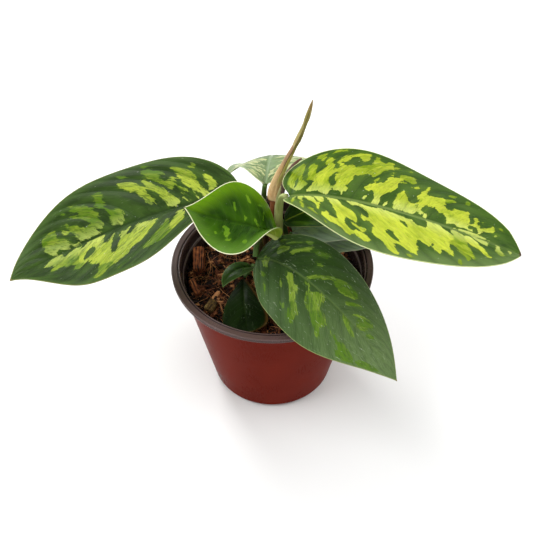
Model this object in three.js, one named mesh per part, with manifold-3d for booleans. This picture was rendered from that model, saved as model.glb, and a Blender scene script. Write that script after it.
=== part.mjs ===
// A potted camouflage homalomena: a small foliage plant in a two-tone nursery pot.
// Millimetres, +Z up. The origin is the middle of the pot's underside. -Y is the front.
// The leaves reach out to +X and -X, and one hangs over the front of the rim.
import * as THREE from 'three';
import { mergeVertices } from 'three/addons/utils/BufferGeometryUtils.js';
import Module from 'manifold-3d';

const wasm = await Module();
wasm.setup();

const CLEARANCE = 0.3;

// The pot is thermoformed: a thin tapered wall, a shoulder under the lip and a flat lip.
const POT = {
  height: 84,
  lipRadius: 55,
  lipWidth: 5,
  lipDrop: 2.8,
  shoulderHeight: 74,
  shoulderStep: 0.9,
  baseRadius: 35,
  wall: 1.4,
  sides: 48,
  drainRadius: 4,
  drainCircle: 21,
  drains: 6,
};

// The planting mix fills the pot to about a centimetre below the lip.
const SOIL = { level: 73, relief: 1.3, stemDepth: 9, rings: 9 };

const COLOUR = {
  potWall: 0x86443a,
  soil: 0x3b2318,
  husk: 0x7a4c2c,
  darkLeaf: 0x2f5220,
  midLeaf: 0x4c7a2a,
  brightLeaf: 0x9db52e,
  youngLeaf: 0x4f8418,
  paleLeaf: 0xa9bf98,
  greyLeaf: 0x5d6b60,
  petiole: 0x6d7a35,
  stalk: 0x6a3a24,
  spathe: 0xb08f5c,
  drySheath: 0x6b554c,
};

// Each blade is laid along a cubic curve of four points, the rib, from its base to its tip.
//   halfWidth  widest half-width, left and right of the rib
//   baseFull, tipFull  how fast each half widens from the base and narrows to the tip
//   sweep      how far the side veins run forward, as a share of the length
//   lobe       how far the base reaches back past the petiole
//   fold       angle of both halves above flat, at the base, the middle and the tip
//   cup        extra angle at the margin, left and right
//   roll       turn of the blade about its rib, at the base, the middle and the tip
//   wave       height of the margin's waves, left and right; waves and phase place them
//   curl       extra fold of the left half close to the base, out to curlReach of the length
//   rows       steps along the blade: every second one is a side vein
const LEAVES = {
  leaf_left: {
    rib: [[-16, 6.5, 127.8], [-63.5, 2, 123], [-102.5, -11, 107], [-129.5, -39.5, 111.5]],
    halfWidth: [36, 36.5], baseFull: [0.95, 0.46], tipFull: [0.97, 1.07],
    sweep: 0.11, lobe: 0, fold: [12, 8.5, 13], cup: [5, -6], roll: [2, -4, 9],
    wave: [-1.5, 1], waves: 2.2, phase: [-0.55, -0.09], rows: 22, colour: 'midLeaf',
    petiole: [[-5, 14], [-9, 16, 98], [-9, 13, 127], [-15.2, 7, 127.7]],
    petioleRadius: [2.2, 1.6],
  },
  leaf_right: {
    rib: [[8.5, -7, 138], [35, -5, 142.5], [92, -14, 123], [125.5, -23.5, 113]],
    halfWidth: [36.5, 36.5], baseFull: [0.59, 0.55], tipFull: [0.81, 0.79],
    sweep: 0.04, lobe: 0.08, fold: [20, 6, 9], cup: [-10, 2], roll: [-8, 2, -10],
    wave: [2.5, -1.6], waves: 1.5, phase: [-0.16, -0.15], rows: 22, colour: 'brightLeaf',
    petiole: [[5, 9.5], [4.2, 9, 97], [1.5, 3, 132], [6.8, -5, 136.3]],
    petioleRadius: [2.3, 1.6],
  },
  leaf_front: {
    rib: [[-8, -15, 102], [9, -25, 117], [42, -47.5, 91.5], [62, -73, 74]],
    halfWidth: [28, 28], baseFull: [0.66, 0.72], tipFull: [1.15, 1.14],
    sweep: 0.09, lobe: 0.04, fold: [8, -1, 6], cup: [-24, -26], roll: [15, 7, -7],
    wave: [0, -1.6], waves: 2, phase: [0, 0], rows: 20, colour: 'darkLeaf',
    petiole: [[-6.5, 7], [-7, 7, 102], [-7.8, -4, 110], [-8.8, -13.4, 101.6]],
    petioleRadius: [2, 1.4],
  },
  leaf_young: {
    rib: [[2.6, -17.6, 120.1], [-11.7, -14.3, 130.5], [-23.2, -15.6, 124.9], [-43.1, -16.8, 139.8]],
    halfWidth: [25.1, 25.1], baseFull: [0.98, 0.66], tipFull: [1.14, 1.16],
    sweep: 0.06, lobe: 0.05, fold: [11.6, 14.2, 15.6], cup: [0, -18], roll: [24.8, -10.8, -15.4],
    wave: [-1.8, 0.5], waves: 1.7, phase: [-0.15, 0], curl: 44, curlReach: 0.22,
    rows: 18, colour: 'youngLeaf',
    petiole: [[-0.5, 6.5], [0, 8.5, 104], [4.4, -4, 115.5], [3.4, -14.4, 117.3]],
    petioleRadius: [1.9, 1.3],
  },
  leaf_back: {
    rib: [[-3.6, 19, 124], [-2, 34, 131], [1, 54, 130], [5, 62, 84]],
    halfWidth: [27, 26], baseFull: [0.9, 0.9], tipFull: [0.8, 0.8],
    sweep: 0.08, lobe: 0.03, fold: [16, -4, -6], cup: [-8, -8], roll: [0, -10, -2],
    wave: [6, 1], waves: 1, phase: [0.3, 0.2], rows: 18, colour: 'paleLeaf',
    petiole: [[-2.5, 22], [-5, 24, 98], [-5, 20.5, 117], [-3.8, 18.7, 123.2]],
    petioleRadius: [1.8, 1.3],
  },
  leaf_shaded: {
    rib: [[6.5, 14.5, 101.5], [22, 14, 113], [48, 18, 119], [72, 22, 110]],
    halfWidth: [17, 17], baseFull: [0.7, 0.7], tipFull: [1, 1],
    sweep: 0.08, lobe: 0.03, fold: [8, 6, 6], cup: [-6, -6], roll: [0, 0, 0],
    wave: [0.6, 0.6], waves: 2, phase: [0.2, 0], rows: 16, colour: 'darkLeaf',
    petiole: [[9.5, 15.5], [9.5, 16.5, 86], [6, 16.5, 96], [6.3, 15, 100.8]],
    petioleRadius: [1.7, 1.2],
  },
  leaf_low_right: {
    rib: [[11, 13, 94.5], [28, 15, 102], [46, 16, 101], [64, 18, 93]],
    halfWidth: [15, 15], baseFull: [0.5, 0.5], tipFull: [0.9, 0.9],
    sweep: 0.08, lobe: 0.05, fold: [8, 6, 6], cup: [-10, -10], roll: [0, 0, 0],
    wave: [0.5, 0.5], waves: 2, phase: [0, 0.3], rows: 14, colour: 'greyLeaf',
    petiole: [[10.5, 8.5], [10, 9, 80], [9, 12, 90], [10.6, 12.9, 93.9]],
    petioleRadius: [1.6, 1.1],
  },
  leaf_lowest_right: {
    rib: [[17, 12, 83], [30, 13, 90], [46, 13, 91], [60, 14, 86.5]],
    halfWidth: [11, 11], baseFull: [0.6, 0.6], tipFull: [1, 1],
    sweep: 0.08, lobe: 0.03, fold: [8, 8, 6], cup: [-10, -10], roll: [0, 0, 0],
    wave: [0.4, 0.4], waves: 2, phase: [0, 0.2], rows: 12, colour: 'greyLeaf',
    petiole: [[15, 11.5], [15, 11.5, 75], [15.5, 11.7, 79], [16.6, 11.9, 82.4]],
    petioleRadius: [1.5, 1],
  },
  leaf_on_soil: {
    rib: [[-15.5, -5, 77], [-15.5, -16, 81.5], [-15, -34, 81.5], [-12.5, -43.8, 77]],
    halfWidth: [12, 12], baseFull: [1.15, 1.15], tipFull: [0.45, 0.45],
    sweep: 0.08, lobe: 0.02, fold: [6, 4, 4], cup: [-12, -12], roll: [0, 0, 0],
    wave: [0.4, 0.4], waves: 2, phase: [0, 0.2], rows: 12, colour: 'darkLeaf',
    petiole: [[-11.5, 1.5], [-11.5, 2, 73], [-13, 0, 77.5], [-15.1, -4.4, 77]],
    petioleRadius: [1.4, 0.9],
  },
  leaf_small: {
    rib: [[-11, 0, 80.5], [-16, -3, 84], [-24, -6, 84.5], [-26.5, -15, 80]],
    halfWidth: [5.2, 5], baseFull: [0.6, 0.6], tipFull: [1, 1],
    sweep: 0.08, lobe: 0.02, fold: [12, 8, 10], cup: [-15, -15], roll: [0, 0, 0],
    wave: [0.4, 0.4], waves: 1, phase: [0, 0], rows: 10, colour: 'midLeaf',
    petiole: [[-12.5, 8], [-12.5, 7, 77], [-9.5, 3, 79.5], [-10.8, 0.5, 80]],
    petioleRadius: [1.2, 0.8],
  },
};

const BLADE = { thickness: 0.8, ribDepth: 1, relief: 0.35, columns: 5, rowCrowding: 1.25 };

// Other upright pieces: route, and half-width by half-depth along it.
const SPATHE = {
  route: [[0.3, 13, 118], [2.5, 13, 131], [13, 13, 160], [19.4, 14, 181]],
  halfWidths: [2.9, 3.5, 3.1, 2.5, 2.1, 1.7, 1.6, 1.1, 1.1, 0.7, 0.25],
  flatness: 0.8,
};
const STALK = { route: [[2, 16.5], [1, 14, 90], [0.2, 13, 105], [0.3, 13, 117.5]], radius: [1.9, 1.6] };
const DRY_SHEATH = {
  route: [[5.5, 20.5], [2.5, 19, 110], [4, 13.5, 137], [17.5, 21.5, 141.5]],
  halfWidths: [1.6, 1.6, 1.5, 1.5, 1.5, 1.4, 1.4, 1.3, 1.1, 0.8, 0.4],
  flatness: 0.45,
};

// Chips of husk pressed a little way into the mix: place, size, turn and lean in degrees.
const CHIPS = {
  husk_chunk: { at: [-40.8, 8.6, 76], size: [7.2, 17, 8], turn: 2, lean: 6 },
  husk_chip_front_left: { at: [-33, -24, 74.5], size: [6, 10, 4], turn: -30, lean: 12 },
  husk_chip_left: { at: [-42, -10, 74.5], size: [4, 11, 3], turn: 25, lean: 8 },
  husk_chip_right: { at: [38, -8, 74.5], size: [11, 5, 4], turn: 35, lean: -9 },
  husk_chip_back: { at: [14, 37, 74.5], size: [12, 6, 4], turn: -20, lean: 7 },
  husk_chip_back_left: { at: [-21, 30, 74.5], size: [7, 13, 4], turn: 50, lean: -8 },
};

const radians = (degrees) => (degrees * Math.PI) / 180;
const mix = (a, b, share) => a + (b - a) * share;
const vector = (point) => new THREE.Vector3(...point);

// A value given at the base, the middle and the tip, as a smooth curve along the blade.
function along([base, middle, tip], x) {
  return base * (1 - x) * (1 - 2 * x) + middle * 4 * x * (1 - x) + tip * x * (2 * x - 1);
}

// The same cubic curve runs on past its ends, because the base lobes reach behind it.
function cubic(points, x) {
  const [a, b, c, d] = points.map(vector);
  const u = 1 - x;
  const place = a.clone().multiplyScalar(u ** 3).addScaledVector(b, 3 * u * u * x)
    .addScaledVector(c, 3 * u * x * x).addScaledVector(d, x ** 3);
  const heading = b.clone().sub(a).multiplyScalar(u * u)
    .addScaledVector(c.clone().sub(b), 2 * u * x)
    .addScaledVector(d.clone().sub(c), x * x)
    .normalize();
  return { place, heading };
}

// A closed body from rings of points, with one point to close each end.
// From the column backFrom on, each quad is split the other way, so that the two
// faces of a thin waved sheet are split alike.
function closedLoft(rings, start, end, backFrom = Infinity) {
  const count = rings[0].length;
  const points = [start, ...rings.flat(), end];
  const at = (ring, column) => 1 + ring * count + (column % count);
  const triangles = [];
  for (let j = 0; j < count; j += 1) {
    triangles.push([0, at(0, j + 1), at(0, j)]);
    triangles.push([points.length - 1, at(rings.length - 1, j), at(rings.length - 1, j + 1)]);
    for (let i = 0; i + 1 < rings.length; i += 1) {
      const [a, b] = [at(i, j), at(i, j + 1)];
      const [c, d] = [at(i + 1, j), at(i + 1, j + 1)];
      triangles.push(...(j < backFrom ? [[a, b, d], [a, d, c]] : [[a, b, c], [b, d, c]]));
    }
  }
  const volume = triangles.reduce((sum, [a, b, c]) => (
    sum + points[a].dot(points[b].clone().cross(points[c]))), 0);
  const index = triangles.flatMap(([a, b, c]) => (volume > 0 ? [a, b, c] : [a, c, b]));
  const geometry = new THREE.BufferGeometry();
  const flat = points.flatMap((point) => point.toArray());
  geometry.setAttribute('position', new THREE.Float32BufferAttribute(flat, 3));
  geometry.setIndex(index);
  return geometry;
}

// A point of a blade: q is the side vein it lies on, t its share of the way to the
// margin, and side is 1 on the left half and -1 on the right half.
function bladePoint(leaf, q, t, side) {
  const half = side > 0 ? 0 : 1;
  const [grow, shrink] = [leaf.baseFull[half], leaf.tipFull[half]];
  const widest = grow / (grow + shrink);
  const shape = (q ** grow * (1 - q) ** shrink) / (widest ** grow * (1 - widest) ** shrink);
  const width = leaf.halfWidth[half] * shape;
  const back = leaf.lobe * (q / 0.06) * Math.exp(1 - q / 0.06) * (1 - q);
  const x = q + (leaf.sweep * Math.sin(Math.PI * q) - back) * t ** 1.5;
  const { place, heading } = cubic(leaf.rib, x);
  const flatLeft = new THREE.Vector3(0, 0, 1).cross(heading).normalize();
  const flatUp = heading.clone().cross(flatLeft);
  const roll = radians(along(leaf.roll, x));
  const left = flatLeft.clone().multiplyScalar(Math.cos(roll)).addScaledVector(flatUp, Math.sin(roll));
  const up = flatUp.clone().multiplyScalar(Math.cos(roll)).addScaledVector(flatLeft, -Math.sin(roll));
  const curl = side > 0 && leaf.curl ? leaf.curl * Math.exp(-((x / leaf.curlReach) ** 2)) : 0;
  const lift = radians(along(leaf.fold, x) + curl + (leaf.cup[half] * t) / 2);
  const waving = Math.sin(2 * Math.PI * (leaf.waves * x + leaf.phase[half]));
  const wave = leaf.wave[half] * t ** 2 * waving * Math.min(1, width / 12);
  return place.addScaledVector(left, side * width * t * Math.cos(lift))
    .addScaledVector(up, width * t * Math.sin(lift) + wave);
}

// The way the upper face looks at a point of the blade.
function bladeNormal(leaf, q, t, side) {
  const step = 0.02;
  const inward = Math.max(t, 0.08);
  const forward = bladePoint(leaf, q + step / 2, inward, side)
    .sub(bladePoint(leaf, q - step / 2, inward, side));
  const outward = bladePoint(leaf, q, inward + step, side)
    .sub(bladePoint(leaf, q, inward - step, side));
  return forward.cross(outward).multiplyScalar(side).normalize();
}

// A blade is a thin closed sheet. Every second row lies in a side vein, a little lower
// than the quilted strips between the veins, and the rib is thicker underneath.
function bladeGeometry(leaf) {
  const rings = [];
  for (let row = 1; row < leaf.rows; row += 1) {
    const q = (row / leaf.rows) ** BLADE.rowCrowding;
    const upper = [];
    const lower = [];
    for (let column = -BLADE.columns; column <= BLADE.columns; column += 1) {
      const t = Math.abs(column) / BLADE.columns;
      const side = column < 0 ? 1 : -1;
      const normal = bladeNormal(leaf, q, t, side);
      if (column === 0) {
        normal.add(bladeNormal(leaf, q, t, 1)).normalize();
      }
      const quilt = (row % 2 ? 1 : -1) * BLADE.relief * Math.sin(Math.PI * t) * (1 - q);
      const surface = bladePoint(leaf, q, t, side).addScaledVector(normal, quilt);
      const depth = BLADE.thickness + (column === 0 ? BLADE.ribDepth * (1 - q) : 0);
      upper.push(surface);
      lower.unshift(surface.clone().addScaledVector(normal, -depth));
    }
    rings.push([...upper, ...lower]);
  }
  const columns = 2 * BLADE.columns + 1;
  return closedLoft(rings, vector(leaf.rib[0]), vector(leaf.rib[3]), columns);
}

// A rod along a route, with its half-width at even steps and one flatness for its depth.
function rodGeometry(route, halfWidths, flatness, grow = 0, sides = 8) {
  const steps = halfWidths.length - 1;
  const across = new THREE.Vector3(1, 0, 0);
  const rings = halfWidths.map((halfWidth, step) => {
    const { place, heading } = cubic(route, step / steps);
    place.addScaledVector(heading, grow * ((2 * step) / steps - 1));
    const deep = heading.clone().cross(across).normalize();
    const wide = deep.clone().cross(heading);
    return Array.from({ length: sides }, (_, side) => {
      const angle = (2 * Math.PI * (side + 0.5)) / sides;
      return place.clone()
        .addScaledVector(wide, (halfWidth + grow) * Math.cos(angle))
        .addScaledVector(deep, (halfWidth * flatness + grow) * Math.sin(angle));
    });
  });
  const [first, last] = [cubic(route, 0), cubic(route, 1)];
  const start = first.place.addScaledVector(first.heading, -grow);
  return closedLoft(rings, start, last.place.addScaledVector(last.heading, grow));
}

// Stems start in the mix, so the first point of their route needs no height.
function rooted(route) {
  const [[x, y], ...rest] = route;
  return [[x, y, SOIL.level - SOIL.stemDepth], ...rest];
}

const taper = ([from, to], steps = 9) => (
  Array.from({ length: steps + 1 }, (_, step) => mix(from, to, step / steps)));

const STEMS = {
  spathe_stalk: [rooted(STALK.route), taper(STALK.radius), 1],
  dry_sheath: [rooted(DRY_SHEATH.route), DRY_SHEATH.halfWidths, DRY_SHEATH.flatness],
};
for (const [name, leaf] of Object.entries(LEAVES)) {
  STEMS[name.replace('leaf', 'petiole')] = [rooted(leaf.petiole), taper(leaf.petioleRadius), 0.85];
}

function potGeometry() {
  const inner = POT.lipRadius - POT.lipWidth;
  const shoulder = inner + POT.wall - POT.shoulderStep;
  const lipUnder = POT.height - POT.lipDrop;
  const innerBase = POT.baseRadius - POT.wall;
  const profile = [
    [0, 0],
    [POT.baseRadius - 1.5, 0],
    [POT.baseRadius, 1.5],
    [shoulder - POT.shoulderStep, POT.shoulderHeight],
    [shoulder, POT.shoulderHeight + POT.shoulderStep],
    [inner + POT.wall, lipUnder],
    [POT.lipRadius, lipUnder],
    [POT.lipRadius, POT.height - 0.6],
    [POT.lipRadius - 0.6, POT.height],
    [inner + 0.5, POT.height],
    [inner, POT.height - 0.5],
    [shoulder - POT.wall, POT.shoulderHeight + POT.shoulderStep + POT.wall],
    [shoulder - POT.shoulderStep - POT.wall, POT.shoulderHeight + POT.shoulderStep],
    [innerBase, POT.wall * 1.5],
    [0, POT.wall * 1.5],
  ].map(([radius, height]) => new THREE.Vector2(radius, height));
  const shell = new THREE.LatheGeometry(profile, POT.sides).rotateX(Math.PI / 2);
  const drains = Array.from({ length: POT.drains }, (_, hole) => {
    const angle = (2 * Math.PI * hole) / POT.drains;
    return new THREE.CylinderGeometry(POT.drainRadius, POT.drainRadius, 12, 16)
      .rotateX(Math.PI / 2)
      .translate(POT.drainCircle * Math.cos(angle), POT.drainCircle * Math.sin(angle), 0);
  });
  return cut(shell, drains);
}

// The height of the mix: lumps of a few sizes over a level that dips slightly at the wall.
function soilHeight(x, y) {
  const lumps = Math.sin(x / 4.1 + 0.7) * Math.cos(y / 3.7)
    + 0.6 * Math.sin(x / 2.2 - y / 2.9)
    + 0.5 * Math.cos((x + 2 * y) / 6.3);
  const dip = 0.8 * (Math.hypot(x, y) / POT.baseRadius) ** 2;
  return SOIL.level + SOIL.relief * 0.5 * lumps - dip;
}

function soilGeometry() {
  const innerTop = POT.lipRadius - POT.lipWidth - 2 * POT.shoulderStep - CLEARANCE;
  const innerBase = POT.baseRadius - POT.wall - CLEARANCE;
  const floor = POT.wall * 1.5 + CLEARANCE;
  const wallTop = SOIL.level - 3.5;
  const wallShare = wallTop / (POT.shoulderHeight + POT.shoulderStep);
  const edge = mix(innerBase, innerTop, wallShare) - CLEARANCE;
  const ring = (radius, height) => Array.from({ length: POT.sides }, (_, side) => {
    const angle = (2 * Math.PI * side) / POT.sides;
    const [x, y] = [radius * Math.cos(angle), radius * Math.sin(angle)];
    return new THREE.Vector3(x, y, height ?? soilHeight(x, y));
  });
  const rings = [ring(innerBase - CLEARANCE, floor), ring(edge, wallTop)];
  for (let step = 0; step < SOIL.rings; step += 1) {
    rings.push(ring(edge * (1 - step / SOIL.rings)));
  }
  const middle = new THREE.Vector3(0, 0, soilHeight(0, 0));
  return closedLoft(rings, new THREE.Vector3(0, 0, floor), middle);
}

// A chip is a block with its long edges broken and its corners pushed about.
function chipGeometry({ at, size, turn, lean }, grow = 0) {
  const [wide, long, thick] = size.map((value) => value / 2 + grow);
  const rings = [-1, -0.35, 0.3, 1].map((end, row) => (
    Array.from({ length: 7 }, (_, side) => {
      const angle = (2 * Math.PI * side) / 7;
      const ragged = 1 + 0.16 * Math.sin(3.1 * side + 2.3 * row + at[0]);
      return new THREE.Vector3(
        wide * Math.cos(angle) * ragged,
        long * end,
        thick * Math.sin(angle) * ragged,
      );
    })));
  const geometry = closedLoft(rings, new THREE.Vector3(0, -long, 0), new THREE.Vector3(0, long, 0));
  return geometry.rotateX(radians(lean)).rotateZ(radians(turn)).translate(...at);
}

function solidOf(geometry) {
  const bare = geometry.clone();
  bare.deleteAttribute('normal');
  bare.deleteAttribute('uv');
  const merged = mergeVertices(bare, 1e-4);
  return new wasm.Manifold(new wasm.Mesh({
    numProp: 3,
    vertProperties: new Float32Array(merged.attributes.position.array),
    triVerts: new Uint32Array(merged.index.array),
  }));
}

function cut(geometry, tools) {
  const solid = tools.reduce((left, tool) => left.subtract(solidOf(tool)), solidOf(geometry));
  const { vertProperties, triVerts } = solid.getMesh();
  const result = new THREE.BufferGeometry();
  result.setAttribute('position', new THREE.Float32BufferAttribute(vertProperties, 3));
  result.setIndex(Array.from(triVerts));
  return result;
}

const plant = new THREE.Group();

function add(name, geometry, colour, roughness) {
  geometry.computeVertexNormals();
  const material = new THREE.MeshStandardMaterial({ color: COLOUR[colour], roughness, metalness: 0 });
  const mesh = new THREE.Mesh(geometry, material);
  mesh.name = name;
  plant.add(mesh);
}

add('pot', potGeometry(), 'potWall', 0.5);

const stemHoles = Object.values(STEMS).map(([route, widths, flatness]) => (
  rodGeometry(route, widths, flatness, CLEARANCE)));
const chipSeats = Object.values(CHIPS).map((chip) => chipGeometry(chip, CLEARANCE));
add('soil', cut(soilGeometry(), [...stemHoles, ...chipSeats]), 'soil', 0.95);

for (const [name, chip] of Object.entries(CHIPS)) {
  add(name, chipGeometry(chip), 'husk', 0.9);
}

for (const [name, [route, widths, flatness]] of Object.entries(STEMS)) {
  const colour = { spathe_stalk: 'stalk', dry_sheath: 'drySheath' }[name] ?? 'petiole';
  add(name, rodGeometry(route, widths, flatness), colour, 0.55);
}

add('spathe', rodGeometry(SPATHE.route, SPATHE.halfWidths, SPATHE.flatness), 'spathe', 0.6);

for (const [name, leaf] of Object.entries(LEAVES)) {
  add(name, bladeGeometry(leaf), leaf.colour, 0.35);
}

export default plant;
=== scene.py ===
"""Looks of the potted camouflage homalomena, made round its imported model.

Lengths are millimetres until a mesh is made, and the axes are the model's: +Z up, +X to the right
of the front view and -Y towards the camera. Colours are given as a screen shows them, 0 to 255.
"""

import math
import random

import bpy
import numpy as np
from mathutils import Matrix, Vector, noise


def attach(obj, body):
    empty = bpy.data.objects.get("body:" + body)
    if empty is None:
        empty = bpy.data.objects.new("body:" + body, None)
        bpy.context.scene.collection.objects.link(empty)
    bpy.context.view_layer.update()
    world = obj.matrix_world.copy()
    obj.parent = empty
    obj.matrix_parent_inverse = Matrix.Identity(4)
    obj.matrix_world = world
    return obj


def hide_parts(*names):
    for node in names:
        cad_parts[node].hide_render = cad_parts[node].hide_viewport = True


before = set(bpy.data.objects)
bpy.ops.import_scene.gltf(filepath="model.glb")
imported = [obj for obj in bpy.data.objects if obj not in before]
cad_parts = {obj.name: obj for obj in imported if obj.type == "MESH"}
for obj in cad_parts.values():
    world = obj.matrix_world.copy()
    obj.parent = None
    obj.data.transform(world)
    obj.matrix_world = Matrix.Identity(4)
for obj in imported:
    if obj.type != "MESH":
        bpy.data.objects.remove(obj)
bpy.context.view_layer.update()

MM = 0.001

# The photo's width, focal length and optical centre in pixels. The camera stands this many degrees
# above level and this far from the middle of the pot's top.
PHOTO_SIZE = 533
PHOTO_FOCAL = 919.0
PHOTO_CENTRE = (272.3, 262.2)
CAMERA_ELEVATION = 45.6
CAMERA_DISTANCE = 500.0

# The pot, whose base is raised by recess inside recess_radius. The mix in it keeps gap away from its
# wall, meets it edge_drop under its level, and holds the stems' feet stem_depth under its level.
POT = {
    "height": 84, "lip_radius": 55, "lip_width": 5, "lip_drop": 2.8, "shoulder_height": 74,
    "shoulder_step": 0.9, "base_radius": 35, "foot_corner": 1.5, "recess": 0.5, "recess_radius": 25,
    "wall": 1.4, "floor": 2.1, "sides": 168, "drain_radius": 4, "drain_circle": 21, "drains": 6,
}
SOIL = {
    "level": 73, "relief": 1.3, "edge_drop": 3.5, "gap": 0.3, "stem_depth": 9, "rings": 84,
    "sides": 180,
}

# Shapes of the blades: what most of them share, and then each one's own. rib runs from the blade's
# stem to its tip and petiole from the mix to the blade, both as the four points of a curve. Pairs
# are for the left and the right half, and threes for base, middle and tip.
#   base_full, tip_full   powers of the outline: the smaller one is, the blunter that end
#   sweep, lobe           how far the margin runs forward, and back at the base, as shares of length
#   fold, cup, roll       degrees that a half is lifted, that it curves, and that the blade turns
#   curl, curl_reach      extra fold of the left half at the base, and the share of length it spans
#   wave, waves, phase    height of the margin's waves, their number and where they start
#   vein                  how far the side veins lean and bend forward
#   quilt                 height of the strips between the side veins
#   marks                 scattered patches on each half: number, length, half-width, brightness
#   grid                  rows along the blade and columns on each half
#   petiole_radius        at the foot and at the top
LEAF_BASE = {
    "base_full": [0.6, 0.6], "tip_full": [1, 1], "sweep": 0.08, "lobe": 0.03, "fold": [8, 6, 6],
    "cup": [-10, -10], "roll": [0, 0, 0], "curl": 0, "curl_reach": 1, "wave": [0.4, 0.4],
    "waves": 2, "phase": [0, 0.2], "vein": [(0.14, 0.08), (0.14, 0.08)], "quilt": [0.3, 0.3],
    "marks": (26, 50, 16, 0.7),
}
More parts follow.
